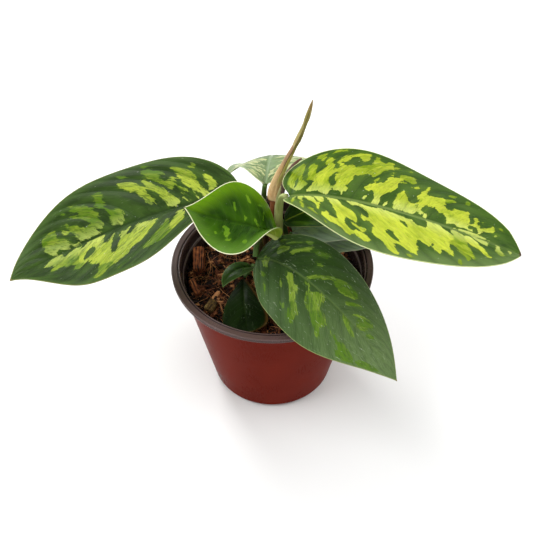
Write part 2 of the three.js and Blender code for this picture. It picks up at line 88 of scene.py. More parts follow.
LEAF_SHAPES = {
    "leaf_left": {
        "rib": [[-16, 6.5, 127.8], [-63.5, 2, 123], [-102.5, -11, 107], [-129.5, -39.5, 111.5]],
        "half_width": [36, 36.5], "base_full": [0.95, 0.46], "tip_full": [0.97, 1.07],
        "sweep": 0.11, "lobe": 0, "fold": [12, 8.5, 13], "cup": [5, -6], "roll": [2, -4, 9],
        "wave": [-1.5, 1], "waves": 2.2, "phase": [-0.55, -0.09],
        "vein": [(0.28, 0.04), (0.08, 0.14)], "grid": (220, 50), "look": "mottled",
        "quilt": [0.3, 0.8], "petiole": [[-5, 14], [-9, 16, 98], [-9, 13, 127], [-15.2, 7, 127.7]],
        "petiole_radius": [2.2, 1.6],
    },
    "leaf_right": {
        "rib": [[8.5, -7, 138], [35, -5, 142.5], [92, -14, 123], [125.5, -23.5, 113]],
        "half_width": [36.5, 36.5], "base_full": [0.59, 0.55], "tip_full": [0.81, 0.79],
        "sweep": 0.04, "lobe": 0.08, "fold": [20, 6, 9], "cup": [-10, 2], "roll": [-8, 2, -10],
        "wave": [2.5, -1.6], "waves": 1.5, "phase": [-0.16, -0.15],
        "vein": [(0.08, 0.12), (0.22, -0.02)], "grid": (220, 50), "look": "bright",
        "petiole": [[5, 9.5], [4.2, 9, 97], [1.5, 3, 132], [6.8, -5, 136.3]],
        "petiole_radius": [2.3, 1.6],
    },
    "leaf_front": {
        "rib": [[-8, -15, 102], [9, -25, 117], [42, -47.5, 91.5], [62, -73, 74]],
        "half_width": [28, 28], "base_full": [0.66, 0.72], "tip_full": [1.15, 1.14], "sweep": 0.09,
        "lobe": 0.04, "fold": [8, -1, 6], "cup": [-24, -26], "roll": [15, 7, -7], "wave": [0, -1.6],
        "phase": [0, 0], "vein": [(0.12, 0.1), (0.18, 0)], "grid": (180, 44), "look": "dark",
        "quilt": [0.45, 0.45],
        "petiole": [[-6.5, 7], [-7, 7, 102], [-7.8, -4, 110], [-8.8, -13.4, 101.6]],
        "petiole_radius": [2, 1.4],
    },
    "leaf_young": {
        "rib": [[2.6, -17.6, 120.1], [-11.7, -14.3, 130.5], [-23.2, -15.6, 124.9],
                [-43.1, -16.8, 139.8]],
        "half_width": [25.1, 25.1], "base_full": [0.98, 0.66], "tip_full": [1.14, 1.16],
        "sweep": 0.06, "lobe": 0.05, "fold": [11.6, 14.2, 15.6], "cup": [0, -18],
        "roll": [24.8, -10.8, -15.4], "wave": [-1.8, 0.5], "waves": 1.7, "phase": [-0.15, 0],
        "curl": 44, "curl_reach": 0.22, "quilt": [0.12, 0.12], "vein": [(0.12, 0.1), (0.12, 0.1)],
        "grid": (160, 40), "look": "young",
        "petiole": [[-0.5, 6.5], [0, 8.5, 104], [4.4, -4, 115.5], [3.4, -14.4, 117.3]],
        "petiole_radius": [1.9, 1.3],
    },
    "leaf_back": {
        "rib": [[-3.6, 19, 124], [-2, 34, 131], [1, 54, 130], [5, 62, 84]], "half_width": [27, 26],
        "base_full": [0.9, 0.9], "tip_full": [0.8, 0.8], "fold": [16, -4, -6], "cup": [-8, -8],
        "roll": [0, -10, -2], "wave": [6, 1], "waves": 1, "phase": [0.3, 0.2], "grid": (120, 34),
        "look": "pale", "marks": (110, 32, 6, 0.9),
        "petiole": [[-2.5, 22], [-5, 24, 98], [-5, 20.5, 117], [-3.8, 18.7, 123.2]],
        "petiole_radius": [1.8, 1.3],
    },
    "leaf_shaded": {
        "rib": [[6.5, 14.5, 101.5], [22, 14, 113], [48, 18, 119], [72, 22, 110]],
        "half_width": [17, 17], "base_full": [0.7, 0.7], "cup": [-6, -6], "wave": [0.6, 0.6],
        "phase": [0.2, 0], "grid": (80, 20), "look": "shaded",
        "petiole": [[9.5, 15.5], [9.5, 16.5, 86], [6, 16.5, 96], [6.3, 15, 100.8]],
        "petiole_radius": [1.7, 1.2],
    },
    "leaf_low_right": {
        "rib": [[11, 13, 94.5], [28, 15, 102], [46, 16, 101], [64, 18, 93]], "half_width": [15, 15],
        "base_full": [0.5, 0.5], "tip_full": [0.9, 0.9], "lobe": 0.05, "wave": [0.5, 0.5],
        "phase": [0, 0.3], "grid": (80, 20), "look": "grey",
        "petiole": [[10.5, 8.5], [10, 9, 80], [9, 12, 90], [10.6, 12.9, 93.9]],
        "petiole_radius": [1.6, 1.1],
    },
    "leaf_lowest_right": {
        "rib": [[17, 12, 83], [30, 13, 90], [46, 13, 91], [60, 14, 86.5]], "half_width": [11, 11],
        "fold": [8, 8, 6], "grid": (70, 16), "look": "grey",
        "petiole": [[15, 11.5], [15, 11.5, 75], [15.5, 11.7, 79], [16.6, 11.9, 82.4]],
        "petiole_radius": [1.5, 1],
    },
    "leaf_on_soil": {
        "rib": [[-15.5, -5, 77], [-15.5, -16, 81.5], [-15, -34, 81.5], [-12.5, -43.8, 77]],
        "half_width": [12, 12], "base_full": [1.15, 1.15], "tip_full": [0.45, 0.45], "lobe": 0.02,
        "fold": [6, 4, 4], "cup": [-12, -12], "grid": (70, 18), "look": "fallen",
        "petiole": [[-11.5, 1.5], [-11.5, 2, 73], [-13, 0, 77.5], [-15.1, -4.4, 77]],
        "petiole_radius": [1.4, 0.9],
    },
    "leaf_small": {
        "rib": [[-11, 0, 80.5], [-16, -3, 84], [-24, -6, 84.5], [-26.5, -15, 80]],
        "half_width": [5.2, 5], "lobe": 0.02, "fold": [12, 8, 10], "cup": [-15, -15], "waves": 1,
        "phase": [0, 0], "grid": (60, 14), "look": "small", "quilt": [0.06, 0.06],
        "petiole": [[-12.5, 8], [-12.5, 7, 77], [-9.5, 3, 79.5], [-10.8, 0.5, 80]],
        "petiole_radius": [1.2, 0.8],
    },
}
LEAVES = {name: {**LEAF_BASE, **shape} for name, shape in LEAF_SHAPES.items()}

# Light patches on each half of a blade: how bright one is, then its outline, point by point. The
# first number of a point is its side vein, in thousandths from the blade's base to its tip, and
# the second is how far out it lies, in hundredths from the rib to the margin. A brightness under
# 0 is a dark island. A blade that isn't named here has scattered patches.
PATCHES = {
    "leaf_right": ([
        (0.3, [45,19, 35,40, 35,72, 70,82, 85,88, 117,87, 120,78, 108,66, 100,55, 95,45, 105,38, 110,30,
            85,22, 70,17]),
        (-1, [46,34, 58,48, 83,58, 82,48, 62,36]),
        (0.35, [105,38, 118,48, 120,60, 130,70, 138,77, 148,78, 158,72, 155,62, 147,50, 165,44, 150,38,
            125,40]),
        (0.6, [95,13, 100,10, 155,10, 160,8, 190,4, 198,7, 202,13, 220,17, 235,22, 250,30, 260,50, 240,60,
            215,56, 220,66, 208,70, 215,78, 200,83, 185,78, 183,72, 190,63, 147,50, 130,38, 140,34, 125,25,
            110,20]),
        (-1, [200,30, 205,40, 225,49, 236,50, 225,42, 225,35, 232,27, 215,23, 203,24]),
        (-1, [218,57, 220,65, 232,68, 242,62, 232,57]),
        (-1, [207,69, 213,75, 225,79, 235,76, 228,71]),
        (0.65, [215,17, 230,14, 250,13, 257,8, 263,13, 275,15, 278,20, 270,24, 283,32, 290,38, 292,43,
            300,48, 295,56, 295,66, 280,68, 265,63, 250,66, 240,70, 265,74, 270,82, 295,85, 310,78, 300,73,
            315,75, 335,79, 338,86, 337,93, 300,92, 280,88, 250,83, 235,76, 225,70, 240,62, 225,55,
            225,40]),
        (0.5, [275,55, 300,64, 325,70, 345,72, 360,79, 380,85, 395,84, 405,90, 425,90, 427,82, 430,77,
            410,70, 400,66, 390,58, 375,52, 365,50, 345,54, 330,50, 310,47, 285,48]),
        (0.4, [352,82, 355,92, 370,93, 375,85, 360,79]),
        (0.3, [210,90, 220,96, 255,97, 258,93, 235,92]),
        (0.35, [160,86, 165,92, 190,93, 188,86, 178,78]),
        (0.85, [345,27, 360,34, 375,37, 395,42, 410,45, 420,50, 425,57, 440,62, 465,65, 480,67, 470,60,
            460,52, 465,45, 455,38, 440,30, 425,25, 412,18, 410,8, 405,2, 380,1, 385,10, 387,20, 380,26,
            362,22, 350,24]),
        (0.8, [343,5, 345,9, 360,14, 363,11, 352,6]),
        (0.7, [428,4, 435,9, 443,12, 442,7, 432,3]),
        (0.3, [375,43, 380,47, 390,50, 388,46]),
        (0.3, [425,63, 430,70, 440,72, 437,64]),
        (0.2, [433,80, 437,86, 447,88, 445,84]),
        (0.45, [458,66, 460,73, 475,76, 500,78, 520,79, 522,73, 527,68, 512,61, 497,64, 482,65]),
        (0.6, [512,55, 530,62, 540,65, 543,60, 535,55]),
        (0.3, [472,55, 478,59, 495,61, 490,58]),
        (0.7, [460,3, 465,10, 470,20, 470,30, 480,37, 487,41, 495,40, 505,34, 515,32, 520,25, 530,21,
            550,26, 550,20, 555,14, 553,8, 545,3, 520,2, 500,3, 480,1]),
        (0.8, [545,43, 552,48, 558,56, 565,63, 570,71, 577,75, 582,70, 577,62, 577,54, 600,55, 620,61,
            635,64, 650,60, 655,53, 652,46, 662,40, 680,42, 680,30, 650,25, 640,21, 632,25, 625,31, 615,35,
            605,30, 595,27, 590,31, 580,27, 573,20, 565,12, 557,10, 555,20, 552,30, 553,37]),
        (0.3, [640,58, 655,65, 675,72, 685,70, 670,60, 655,53]),
        (0.75, [655,26, 658,40, 680,42, 690,50, 710,53, 730,58, 740,63, 748,60, 747,52, 755,40, 758,30,
            755,20, 757,16, 765,15, 775,20, 777,12, 740,11, 710,9, 703,13, 695,10, 685,8, 675,4, 670,10,
            667,20]),
        (0.6, [553,15, 557,10, 570,7, 580,12, 575,15]),
        (0.9, [584,5, 585,10, 592,12, 597,6, 590,3]),
        (0.8, [765,28, 775,36, 773,45, 770,50, 775,56, 787,57, 790,48, 787,40, 790,36, 800,42, 803,33,
            815,38, 830,47, 840,55, 848,64, 857,62, 865,52, 858,40, 845,35, 830,32, 818,28, 812,20, 810,13,
            800,12, 800,18, 790,28, 780,26]),
        (0.3, [800,50, 805,57, 812,60, 810,52]),
        (0.2, [862,30, 867,40, 878,47, 875,38, 868,28]),
        (0.2, [875,70, 880,80, 893,78, 888,70]),
        (0.1, [720,78, 725,90, 738,92, 735,80]),
        (0.15, [655,76, 660,84, 680,86, 670,78]),
        (0.15, [485,88, 490,93, 500,92, 495,87]),
        (0.5, [700,2, 740,8, 790,9, 830,10, 850,5, 800,0]),
    ], [
        (0.6, [45,0, 50,12, 58,28, 70,34, 78,30, 82,20, 78,8, 70,0]),
        (0.3, [30,5, 33,40, 50,70, 70,95, 60,65, 45,35, 40,5]),
        (0.5, [75,33, 80,50, 90,70, 100,85, 107,78, 100,60, 88,45, 85,35]),
        (0.95, [85,0, 88,10, 95,20, 105,28, 120,31, 140,36, 148,44, 153,56, 158,55, 160,45, 165,33, 163,25,
            150,27, 140,20, 130,12, 118,5, 110,0]),
        (0.7, [125,0, 130,5, 145,13, 155,22, 165,25, 178,20, 180,12, 175,5, 160,0]),
        (0.9, [190,4, 200,10, 210,20, 218,30, 228,40, 230,50, 236,58, 220,59, 200,62, 200,55, 190,49,
            183,55, 170,60, 168,70, 190,76, 200,79, 225,76, 250,78, 262,85, 275,88, 285,84, 292,80, 310,84,
            325,87, 340,87, 360,80, 345,74, 325,70, 305,70, 290,74, 275,70, 262,62, 260,55, 270,49, 280,48,
            300,50, 310,54, 317,50, 320,40, 315,35, 300,30, 280,24, 260,18, 250,10, 240,5]),
        (0.7, [288,55, 290,60, 310,64, 330,67, 345,66, 347,60, 330,57, 320,60, 300,56]),
        (0.5, [118,60, 120,70, 140,75, 160,77, 165,74, 145,68, 140,60]),
        (0.8, [270,4, 280,8, 300,14, 310,13, 330,10, 345,13, 370,15, 370,7, 340,6, 320,3]),
        (0.85, [345,12, 365,20, 368,26, 365,33, 335,29, 330,33, 345,42, 360,40, 378,44, 388,50, 376,49,
            372,56, 368,62, 385,69, 405,74, 412,84, 430,92, 455,95, 460,90, 452,80, 448,72, 470,72, 490,78,
            510,84, 530,87, 533,80, 545,74, 540,65, 545,57, 550,53, 570,56, 590,62, 600,58, 602,52, 625,50,
            630,30, 590,20, 560,19, 540,10, 500,10, 470,7, 440,6, 410,5, 370,7]),
        (-1, [432,48, 432,55, 445,60, 465,66, 475,68, 477,62, 465,55, 455,48, 442,46]),
        (-1, [487,18, 500,24, 517,30, 523,26, 512,20]),
        (0.9, [595,0, 598,15, 590,20, 575,30, 580,40, 612,50, 615,55, 603,62, 610,69, 630,77, 635,70,
            640,62, 650,63, 665,71, 682,77, 686,73, 680,62, 675,52, 680,42, 700,35, 710,30, 715,20, 690,17,
            670,10, 650,0]),
        (-1, [652,2, 660,6, 680,13, 700,20, 703,17, 690,10, 670,3]),
        (0.3, [665,42, 690,45, 705,52, 710,60, 725,70, 740,83, 750,80, 757,72, 765,74, 775,80, 778,70,
            765,55, 757,42, 755,30, 755,22, 755,12, 740,6, 700,2, 690,10, 690,25]),
        (0.85, [745,8, 740,20, 760,28, 775,38, 785,36, 800,42, 810,50, 820,60, 835,68, 848,70, 853,65,
            840,57, 828,47, 822,38, 815,30, 800,22, 790,14, 775,8, 760,6]),
        (0.4, [770,0, 785,8, 800,13, 820,18, 840,20, 845,12, 845,0]),
        (0.15, [880,0, 878,20, 875,40, 885,50, 900,60, 915,55, 910,42, 900,30, 895,15, 895,0]),
        (0.15, [695,83, 695,92, 703,98, 710,90, 708,82]),
        (0.4, [488,88, 490,93, 505,95, 510,93, 500,89]),
        (0.3, [180,82, 182,87, 190,88, 188,83]),
        (0.1, [937,10, 935,30, 943,42, 950,30, 948,10]),
    ]),
    "leaf_left": ([
        (0.7, [203,50, 208,35, 213,20, 222,12, 240,11, 245,20, 252,30, 262,34, 265,45, 265,56, 240,60,
            225,56]),
        (0.2, [250,56, 250,45, 262,40, 270,30, 277,24, 283,23, 290,30, 305,38, 325,48, 340,53, 360,60,
            365,66, 345,70, 310,70, 280,74, 255,68, 240,62]),
        (0.75, [322,14, 330,20, 345,30, 365,38, 380,46, 400,50, 425,55, 435,63, 445,67, 470,70, 500,75,
            540,70, 570,66, 575,59, 600,60, 615,58, 622,54, 612,50, 620,47, 640,48, 660,52, 700,50, 700,30,
            690,14, 675,12, 650,10, 635,5, 630,1, 580,0, 550,2, 560,10, 557,18, 553,24, 545,20, 530,13,
            508,5, 505,9, 515,18, 520,27, 525,38, 527,46, 500,48, 490,40, 485,30, 483,18, 475,12, 455,9,
            443,5, 440,7, 447,13, 452,20, 437,22, 427,17, 415,12, 400,8, 360,10, 330,11]),
        (0.3, [460,66, 500,75, 520,76, 535,82, 545,88, 570,92, 590,92, 605,88, 590,83, 580,80, 580,72,
            570,64, 520,60]),
        (-1, [598,25, 600,30, 615,35, 635,40, 655,43, 660,38, 655,30, 640,24, 620,19, 607,17]),
        (0.35, [650,50, 675,58, 690,61, 710,58, 705,53, 700,47, 715,43, 740,47, 760,42, 780,42, 790,46,
            810,50, 820,52, 815,42, 800,35, 800,28, 815,29, 830,28, 843,22, 835,14, 820,8, 800,3, 780,0,
            745,2, 745,10, 735,13, 720,8, 700,6, 670,4, 650,2, 660,8, 670,12, 660,30]),
        (0.1, [450,82, 460,87, 475,89, 470,85]),
    ], [
        (0.8, [75,26, 80,40, 88,52, 100,57, 112,55, 113,47, 107,38, 110,20, 95,19]),
        (0.75, [113,12, 125,27, 135,33, 140,45, 165,60, 185,67, 187,55, 188,45, 180,35, 168,27, 160,22,
            150,20, 138,13, 130,8]),
        (0.4, [135,36, 135,45, 134,56, 145,65, 160,71, 180,77, 190,76, 185,60, 155,50]),
        (0.5, [153,5, 157,15, 162,27, 167,24, 163,14]),
        (0.4, [120,73, 120,80, 123,85, 130,80, 142,79, 142,73, 130,71]),
        (0.5, [190,5, 197,10, 205,16, 210,13, 205,8]),
        (0.5, [182,23, 183,29, 197,31, 205,38, 207,45, 203,52, 215,59, 222,55, 225,50, 240,52, 250,58,
            265,60, 260,52, 250,45, 243,38, 235,34, 225,36, 215,38, 205,30, 197,17, 190,15, 192,23]),
        (0.2, [243,50, 247,60, 235,65, 227,62, 222,70, 235,77, 250,85, 265,86, 280,83, 283,77, 275,70,
            265,55]),
        (0.55, [220,8, 225,15, 238,19, 243,25, 250,30, 255,40, 270,50, 278,58, 290,67, 300,66, 300,58,
            310,50, 300,42, 290,33, 280,25, 275,15, 275,6, 260,2, 240,4]),
        (0.65, [305,15, 307,25, 317,35, 315,42, 305,50, 315,57, 325,64, 335,70, 355,74, 368,76, 375,70,
            365,60, 362,53, 350,51, 340,47, 340,38, 342,27, 335,18, 330,16, 320,22]),
        (0.25, [325,80, 330,87, 342,91, 350,88, 345,82]),
        (0.1, [240,90, 255,95, 270,93, 262,88]),
        (0.15, [450,8, 445,17, 438,20, 437,28, 447,34, 460,37, 472,42, 473,47, 460,54, 458,57, 450,64,
            440,70, 430,76, 445,78, 460,76, 470,68, 485,62, 497,57, 497,52, 485,44, 483,37, 488,28, 495,20,
            505,14, 500,8, 480,5, 465,3]),
        (0.25, [540,10, 535,15, 527,20, 525,30, 540,40, 560,40, 562,33, 565,30, 590,29, 610,33, 612,45,
            625,50, 625,58, 635,59, 640,54, 647,46, 645,40, 655,37, 650,28, 650,15, 650,7, 620,4, 590,5,
            560,3, 553,5, 565,10, 565,17, 555,12]),
        (0.2, [523,28, 523,37, 508,40, 515,48, 510,56, 515,62, 510,70, 525,72, 540,80, 552,83, 555,78,
            570,77, 568,70, 558,65, 560,58, 570,60, 590,67, 600,65, 590,60, 575,52, 570,42, 562,30]),
        (0.45, [655,34, 655,48, 658,57, 668,50, 670,40]),
        (0.2, [685,10, 690,18, 688,27, 687,33, 700,42, 720,50, 755,50, 775,42, 785,38, 788,25, 787,10,
            785,0, 765,0, 760,10, 745,14, 730,10, 720,3, 700,0, 700,10]),
        (0.25, [700,40, 700,48, 690,55, 678,62, 675,67, 690,68, 700,70, 715,74, 725,69, 745,66, 760,60,
            770,55, 768,45]),
        (0.2, [580,75, 585,82, 595,83, 600,77, 590,74]),
        (0.4, [655,0, 660,5, 670,7, 690,9, 690,0]),
    ]),
    "leaf_front": ([
        (0.45, [60,0, 70,7, 85,10, 100,7, 107,0]),
        (0.5, [135,22, 125,35, 130,45, 150,50, 175,48, 185,40, 178,30, 170,23, 150,20]),
        (0.4, [200,40, 210,31, 220,31, 235,38, 245,45, 260,50, 275,55, 275,62, 262,68, 250,66, 235,56,
            220,48]),
        (0.1, [200,82, 215,85, 240,80, 250,73, 235,70]),
        (0.2, [345,42, 360,48, 375,45, 380,40, 370,36]),
        (0.4, [380,2, 390,10, 405,22, 420,28, 445,38, 455,45, 462,42, 458,35, 450,30, 435,20, 420,12, 405,5,
            390,1]),
        (0.15, [460,38, 470,48, 490,54, 520,60, 560,62, 580,60, 583,50, 572,42, 555,36, 535,32, 510,30,
            490,32]),
        (0.6, [505,30, 530,35, 550,41, 575,52, 583,47, 560,36, 535,30]),
        (0.25, [585,30, 600,40, 620,47, 635,50, 630,42, 615,33, 605,25, 595,22]),
        (0.3, [645,10, 650,20, 665,30, 680,40, 695,42, 690,32, 675,25, 665,15]),
        (0.25, [705,5, 712,15, 720,30, 730,38, 740,30, 740,18, 737,8]),
        (0.3, [105,66, 112,72, 125,75, 140,76, 148,73, 135,68, 120,65]),
        (0.3, [135,55, 145,60, 160,64, 180,68, 200,72, 205,70, 190,64, 170,59, 150,54]),
        (0.1, [280,60, 290,68, 310,74, 335,76, 355,74, 350,66, 330,60, 305,56]),
        (0.1, [88,36, 92,42, 100,46, 106,44, 100,38]),
        (0.1, [672,25, 690,38, 705,48, 722,52, 735,48, 742,38, 730,25, 715,12, 700,8, 690,14]),
        (0, [755,10, 762,22, 775,30, 790,28, 785,15, 770,8]),
    ], [
        (0.55, [70,0, 70,15, 80,26, 100,25, 110,30, 130,31, 135,25, 125,17, 115,8, 110,0]),
        (0.3, [385,4, 392,8, 410,9, 425,7, 410,4]),
        (0.1, [655,58, 665,70, 690,75, 715,78, 735,85, 760,90, 765,82, 740,70, 715,62, 690,56]),
        (0, [770,85, 790,93, 830,95, 870,92, 900,85, 880,75, 840,70, 800,72]),
        (0.6, [270,9, 285,18, 305,27, 325,34, 340,42, 355,50, 375,55, 395,50, 385,38, 378,30, 365,22,
            345,20, 325,15, 310,8, 290,7]),
        (0.3, [355,46, 375,58, 385,65, 400,72, 425,72, 430,62, 415,55, 395,46]),
        (0.05, [365,60, 370,70, 385,78, 400,83, 420,80, 420,68]),
        (0.4, [258,30, 258,37, 270,44, 285,42, 280,36]),
        (0.2, [318,66, 330,64, 350,66, 345,71, 325,71]),
        (0.4, [420,11, 425,20, 425,30, 440,38, 455,42, 475,46, 500,45, 520,40, 525,30, 510,18, 525,16,
            520,5, 500,2, 470,3, 455,10, 440,15]),
        (0.15, [475,43, 490,49, 510,57, 525,63, 540,67, 570,73, 580,70, 565,64, 560,55, 570,50, 585,45,
            570,38, 545,31, 510,28]),
        (0.35, [620,0, 635,10, 660,20, 690,24, 715,29, 728,25, 710,15, 690,10, 670,0]),
        (0.2, [610,48, 630,56, 650,62, 660,70, 690,65, 700,57, 670,57, 640,50]),
        (0.1, [100,47, 120,56, 140,52, 155,43, 140,42]),
        (0.1, [160,62, 180,72, 200,75, 190,64]),
        (0.05, [660,78, 680,93, 740,95, 770,90, 700,76]),
    ]),
    "leaf_young": ([
        (0.4, [535,53, 545,60, 575,61, 605,63, 612,60, 590,57, 560,55]),
        (0.35, [565,50, 575,56, 595,56, 605,50, 620,45, 625,38, 615,32, 620,28, 645,24, 635,18, 615,16,
            595,20, 575,22, 565,25, 570,30, 560,33, 560,38, 575,42]),
        (0.2, [330,68, 345,74, 370,72, 385,67, 400,62, 385,57, 365,57, 350,60]),
        (0.25, [690,50, 705,54, 717,49, 705,45]),
        (0.15, [748,70, 755,76, 768,78, 764,72]),
    ], [
        (0.35, [222,0, 235,6, 255,12, 280,18, 290,19, 285,14, 270,8, 250,3, 235,0]),
        (0.3, [370,14, 380,17, 395,17, 400,22, 408,20, 407,10, 398,7, 385,12]),
        (0.3, [500,26, 505,40, 510,48, 530,49, 535,46, 527,38, 525,30, 518,25]),
        (0.4, [180,27, 185,42, 192,53, 200,57, 203,45, 200,33, 195,26]),
        (0.4, [335,52, 350,60, 360,68, 372,72, 378,77, 390,74, 380,66, 375,58, 360,53]),
        (0.3, [220,68, 225,62, 240,58, 265,58, 250,63]),
    ]),
    "leaf_on_soil": ([], []),
}


def srgb(red, green, blue):
    """The linear colour that nodes take."""
    shares = [value / 255 for value in (red, green, blue)]
    return (*[v / 12.92 if v < 0.04045 else ((v + 0.055) / 1.055) ** 2.4 for v in shares], 1.0)


class Paint:
    """A material's nodes: most methods add one and give its output."""

    def __init__(self, name):
        self.material = bpy.data.materials.new(name)
        self.material.use_nodes = True
        self.nodes = self.material.node_tree.nodes
        self.links = self.material.node_tree.links
        self.shader = self.nodes["Principled BSDF"]

    def add(self, kind, inputs, **settings):
        """A node of this kind; inputs are numbers, colours or outputs of other nodes."""
        node = self.nodes.new(kind)
        for key, value in settings.items():
            setattr(node, key, value)
        for key, value in inputs.items():
            self.feed(node.inputs[key], value)
        return node

    def feed(self, socket, value):
        if isinstance(value, bpy.types.NodeSocket):
            self.links.new(value, socket)
        elif socket.type == "RGBA":
            socket.default_value = srgb(*value)
        else:
            socket.default_value = value

    def set(self, **inputs):
        """Settings of the surface itself, with _ for each space in their names."""
        for key, value in inputs.items():
            self.feed(self.shader.inputs[key.replace("_", " ")], value)

    def math(self, operation, a, b=0.0, c=0.0):
        return self.add("ShaderNodeMath", {0: a, 1: b, 2: c}, operation=operation).outputs[0]

    def times(self, a, b):
        return self.math("MULTIPLY", a, b)

    def away(self, value, middle):
        return self.math("ABSOLUTE", self.math("SUBTRACT", value, middle))

    def sum(self, a, *terms):
        """a plus each (value, factor), where a noise value is taken about its middle."""
        for value, factor in terms:
            centred = self.math("SUBTRACT", value, 0.5)
            a = self.math("MULTIPLY_ADD", centred, factor, a)
        return a

    def step(self, value, low, high):
        """0 under low, 1 over high and smooth between. low may be the larger one."""
        inputs = {"Value": value, "From Min": low, "From Max": high}
        if low > high:
            inputs = {"Value": value, "From Min": high, "From Max": low, "To Min": 1, "To Max": 0}
        return self.add("ShaderNodeMapRange", inputs, interpolation_type="SMOOTHSTEP").outputs[0]

    def mix(self, share, a, b):
        return self.add("ShaderNodeMix", {0: share, 6: a, 7: b}, data_type="RGBA").outputs[2]

    def cover(self, colour, *coats):
        """A colour under coats, each of them where it lies, how strong it is and its own colour."""
        for where, strength, coat in coats:
            share = where if strength == 1 else self.times(where, strength)
            colour = self.mix(share, colour, coat)
        return colour

    def attribute(self, name):
        return self.add("ShaderNodeAttribute", {}, attribute_name=name).outputs["Fac"]

    def vector(self, operation, a, b):
        return self.add("ShaderNodeVectorMath", {0: a, 1: b}, operation=operation).outputs[0]

    def blade_map(self, across, out, seed):
        """The blade's own map in centimetres, stretched across and out along the side veins."""
        flat = self.add("ShaderNodeUVMap", {}, uv_map="blade").outputs[0]
        return self.vector("ADD", self.vector("MULTIPLY", flat, (across, out, 0)), (0, 0, seed))

    def body_map(self, across, up=None):
        """The object's own place in centimetres, stretched across and upwards."""
        place = self.add("ShaderNodeTexCoord", {}).outputs["Object"]
        height = across if up is None else up
        return self.vector("MULTIPLY", place, (100 * across, 100 * across, 100 * height))

    def noise(self, place, detail=2.0, roughness=0.5, distortion=0.0):
        inputs = {
            "Vector": place, "Scale": 1.0, "Detail": detail, "Roughness": roughness,
            "Distortion": distortion,
        }
        return self.add("ShaderNodeTexNoise", inputs).outputs["Fac"]

    def cells(self, place):
        """How far a point lies from the nearest of many strewn dots."""
        inputs = {"Vector": place, "Scale": 1.0}
        return self.add("ShaderNodeTexVoronoi", inputs, feature="F1").outputs["Distance"]

    def blocks(self, place):
        """Square-sided cells, each with a value of its own."""
        inputs = {"Vector": place, "Scale": 1.0, "Randomness": 0.85}
        node = self.add("ShaderNodeTexVoronoi", inputs, feature="F1", distance="CHEBYCHEV")
        return self.add("ShaderNodeSeparateColor", {0: node.outputs["Color"]}).outputs[0]

    def flesh(self, weight, radius):
        """Light that passes a little way through thin green tissue."""
        self.set(Subsurface_Weight=weight, Subsurface_Radius=radius, Subsurface_Scale=MM)

    def finished(self, colour, roughness, specular, *layers):
        """The material, with bump layers that are each a height and its size in millimetres."""
        self.set(Base_Color=colour, Roughness=roughness, Specular_IOR_Level=specular)
        normal = None
        for height, size in layers:
            inputs = {"Height": height, "Distance": size * MM}
            if normal is not None:
                inputs["Normal"] = normal
            normal = self.add("ShaderNodeBump", inputs).outputs[0]
        self.set(Normal=normal)
        return self.material


def make_object(name, vertices, faces, materials, slots=None, smooth=True):
    """A mesh object from millimetres; slots gives each face's material."""
    mesh = bpy.data.meshes.new(name)
    mesh.from_pydata((np.asarray(vertices) * MM).tolist(), [], faces)
    for material in materials:
        mesh.materials.append(material)
    if slots is not None:
        mesh.polygons.foreach_set("material_index", slots)
    mesh.polygons.foreach_set("use_smooth", [smooth] * len(mesh.polygons))
    mesh.update()
    piece = bpy.data.objects.new(name, mesh)
    bpy.context.collection.objects.link(piece)
    return piece


def add_values(piece, name, values):
    data = piece.data.attributes.new(name, "FLOAT", "POINT").data
    data.foreach_set("value", np.asarray(values, dtype=np.float32))


def add_map(piece, name, pairs):
    """A flat map from one pair of numbers a vertex."""
    mesh = piece.data
    corners = np.zeros(len(mesh.loops), dtype=np.int32)
    mesh.loops.foreach_get("vertex_index", corners)
    layer = mesh.uv_layers.new(name=name)
    layer.data.foreach_set("uv", np.asarray(pairs, dtype=np.float32)[corners].ravel())


def settle(piece, slot, *nodes):
    """Put a finished piece in the part, in place of the nodes it stands for."""
    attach(piece, "root")
    if nodes:
        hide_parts(*nodes)


def loft_faces(rings, count):
    """Faces of a closed body: a first point, rings of count points each, and a last point."""
    faces = []
    last = 1 + rings * count
    for j in range(count):
        k = (j + 1) % count
        faces.append((0, 1 + k, 1 + j))
        for i in range(rings - 1):
            a, b = 1 + i * count + j, 1 + i * count + k
            faces.append((a, b, b + count, a + count))
        faces.append((last, last - count + j, last - count + k))
    return faces


def turned_outward(faces):
    return [face[::-1] for face in faces]


def unit(vectors):
    return vectors / np.linalg.norm(vectors, axis=-1, keepdims=True)


def cubic(points, x):
    """Place and heading on a cubic curve, which runs on past its ends."""
    a, b, c, d = np.array(points, float)
    x = np.asarray(x, float)[..., None]
    u = 1 - x
    place = a * u**3 + 3 * b * u * u * x + 3 * c * u * x * x + d * x**3
    heading = (b - a) * u * u + 2 * (c - b) * u * x + (d - c) * x * x
    return place, unit(heading)


def along(values, x):
    """A value given at the base, the middle and the tip, as a smooth curve."""
    base, middle, tip = values
    return base * (1 - x) * (1 - 2 * x) + middle * 4 * x * (1 - x) + tip * x * (2 * x - 1)


def rib_length(leaf):
    places, _ = cubic(leaf["rib"], np.linspace(0, 1, 60))
    return float(np.linalg.norm(np.diff(places, axis=0), axis=1).sum())


def blade_width(leaf, q, half):
    """How wide a half is where its side vein q starts."""
    grow, shrink = leaf["base_full"][half], leaf["tip_full"][half]
    widest = grow / (grow + shrink)
    peak = widest**grow * (1 - widest) ** shrink
    return leaf["half_width"][half] * q**grow * (1 - q) ** shrink / peak


# The lobes at a blade's base run back most at this share of its length, and its margin's waves
# fade where it is narrower than this.
LOBE_AT = 0.06
CALM_WIDTH = 12


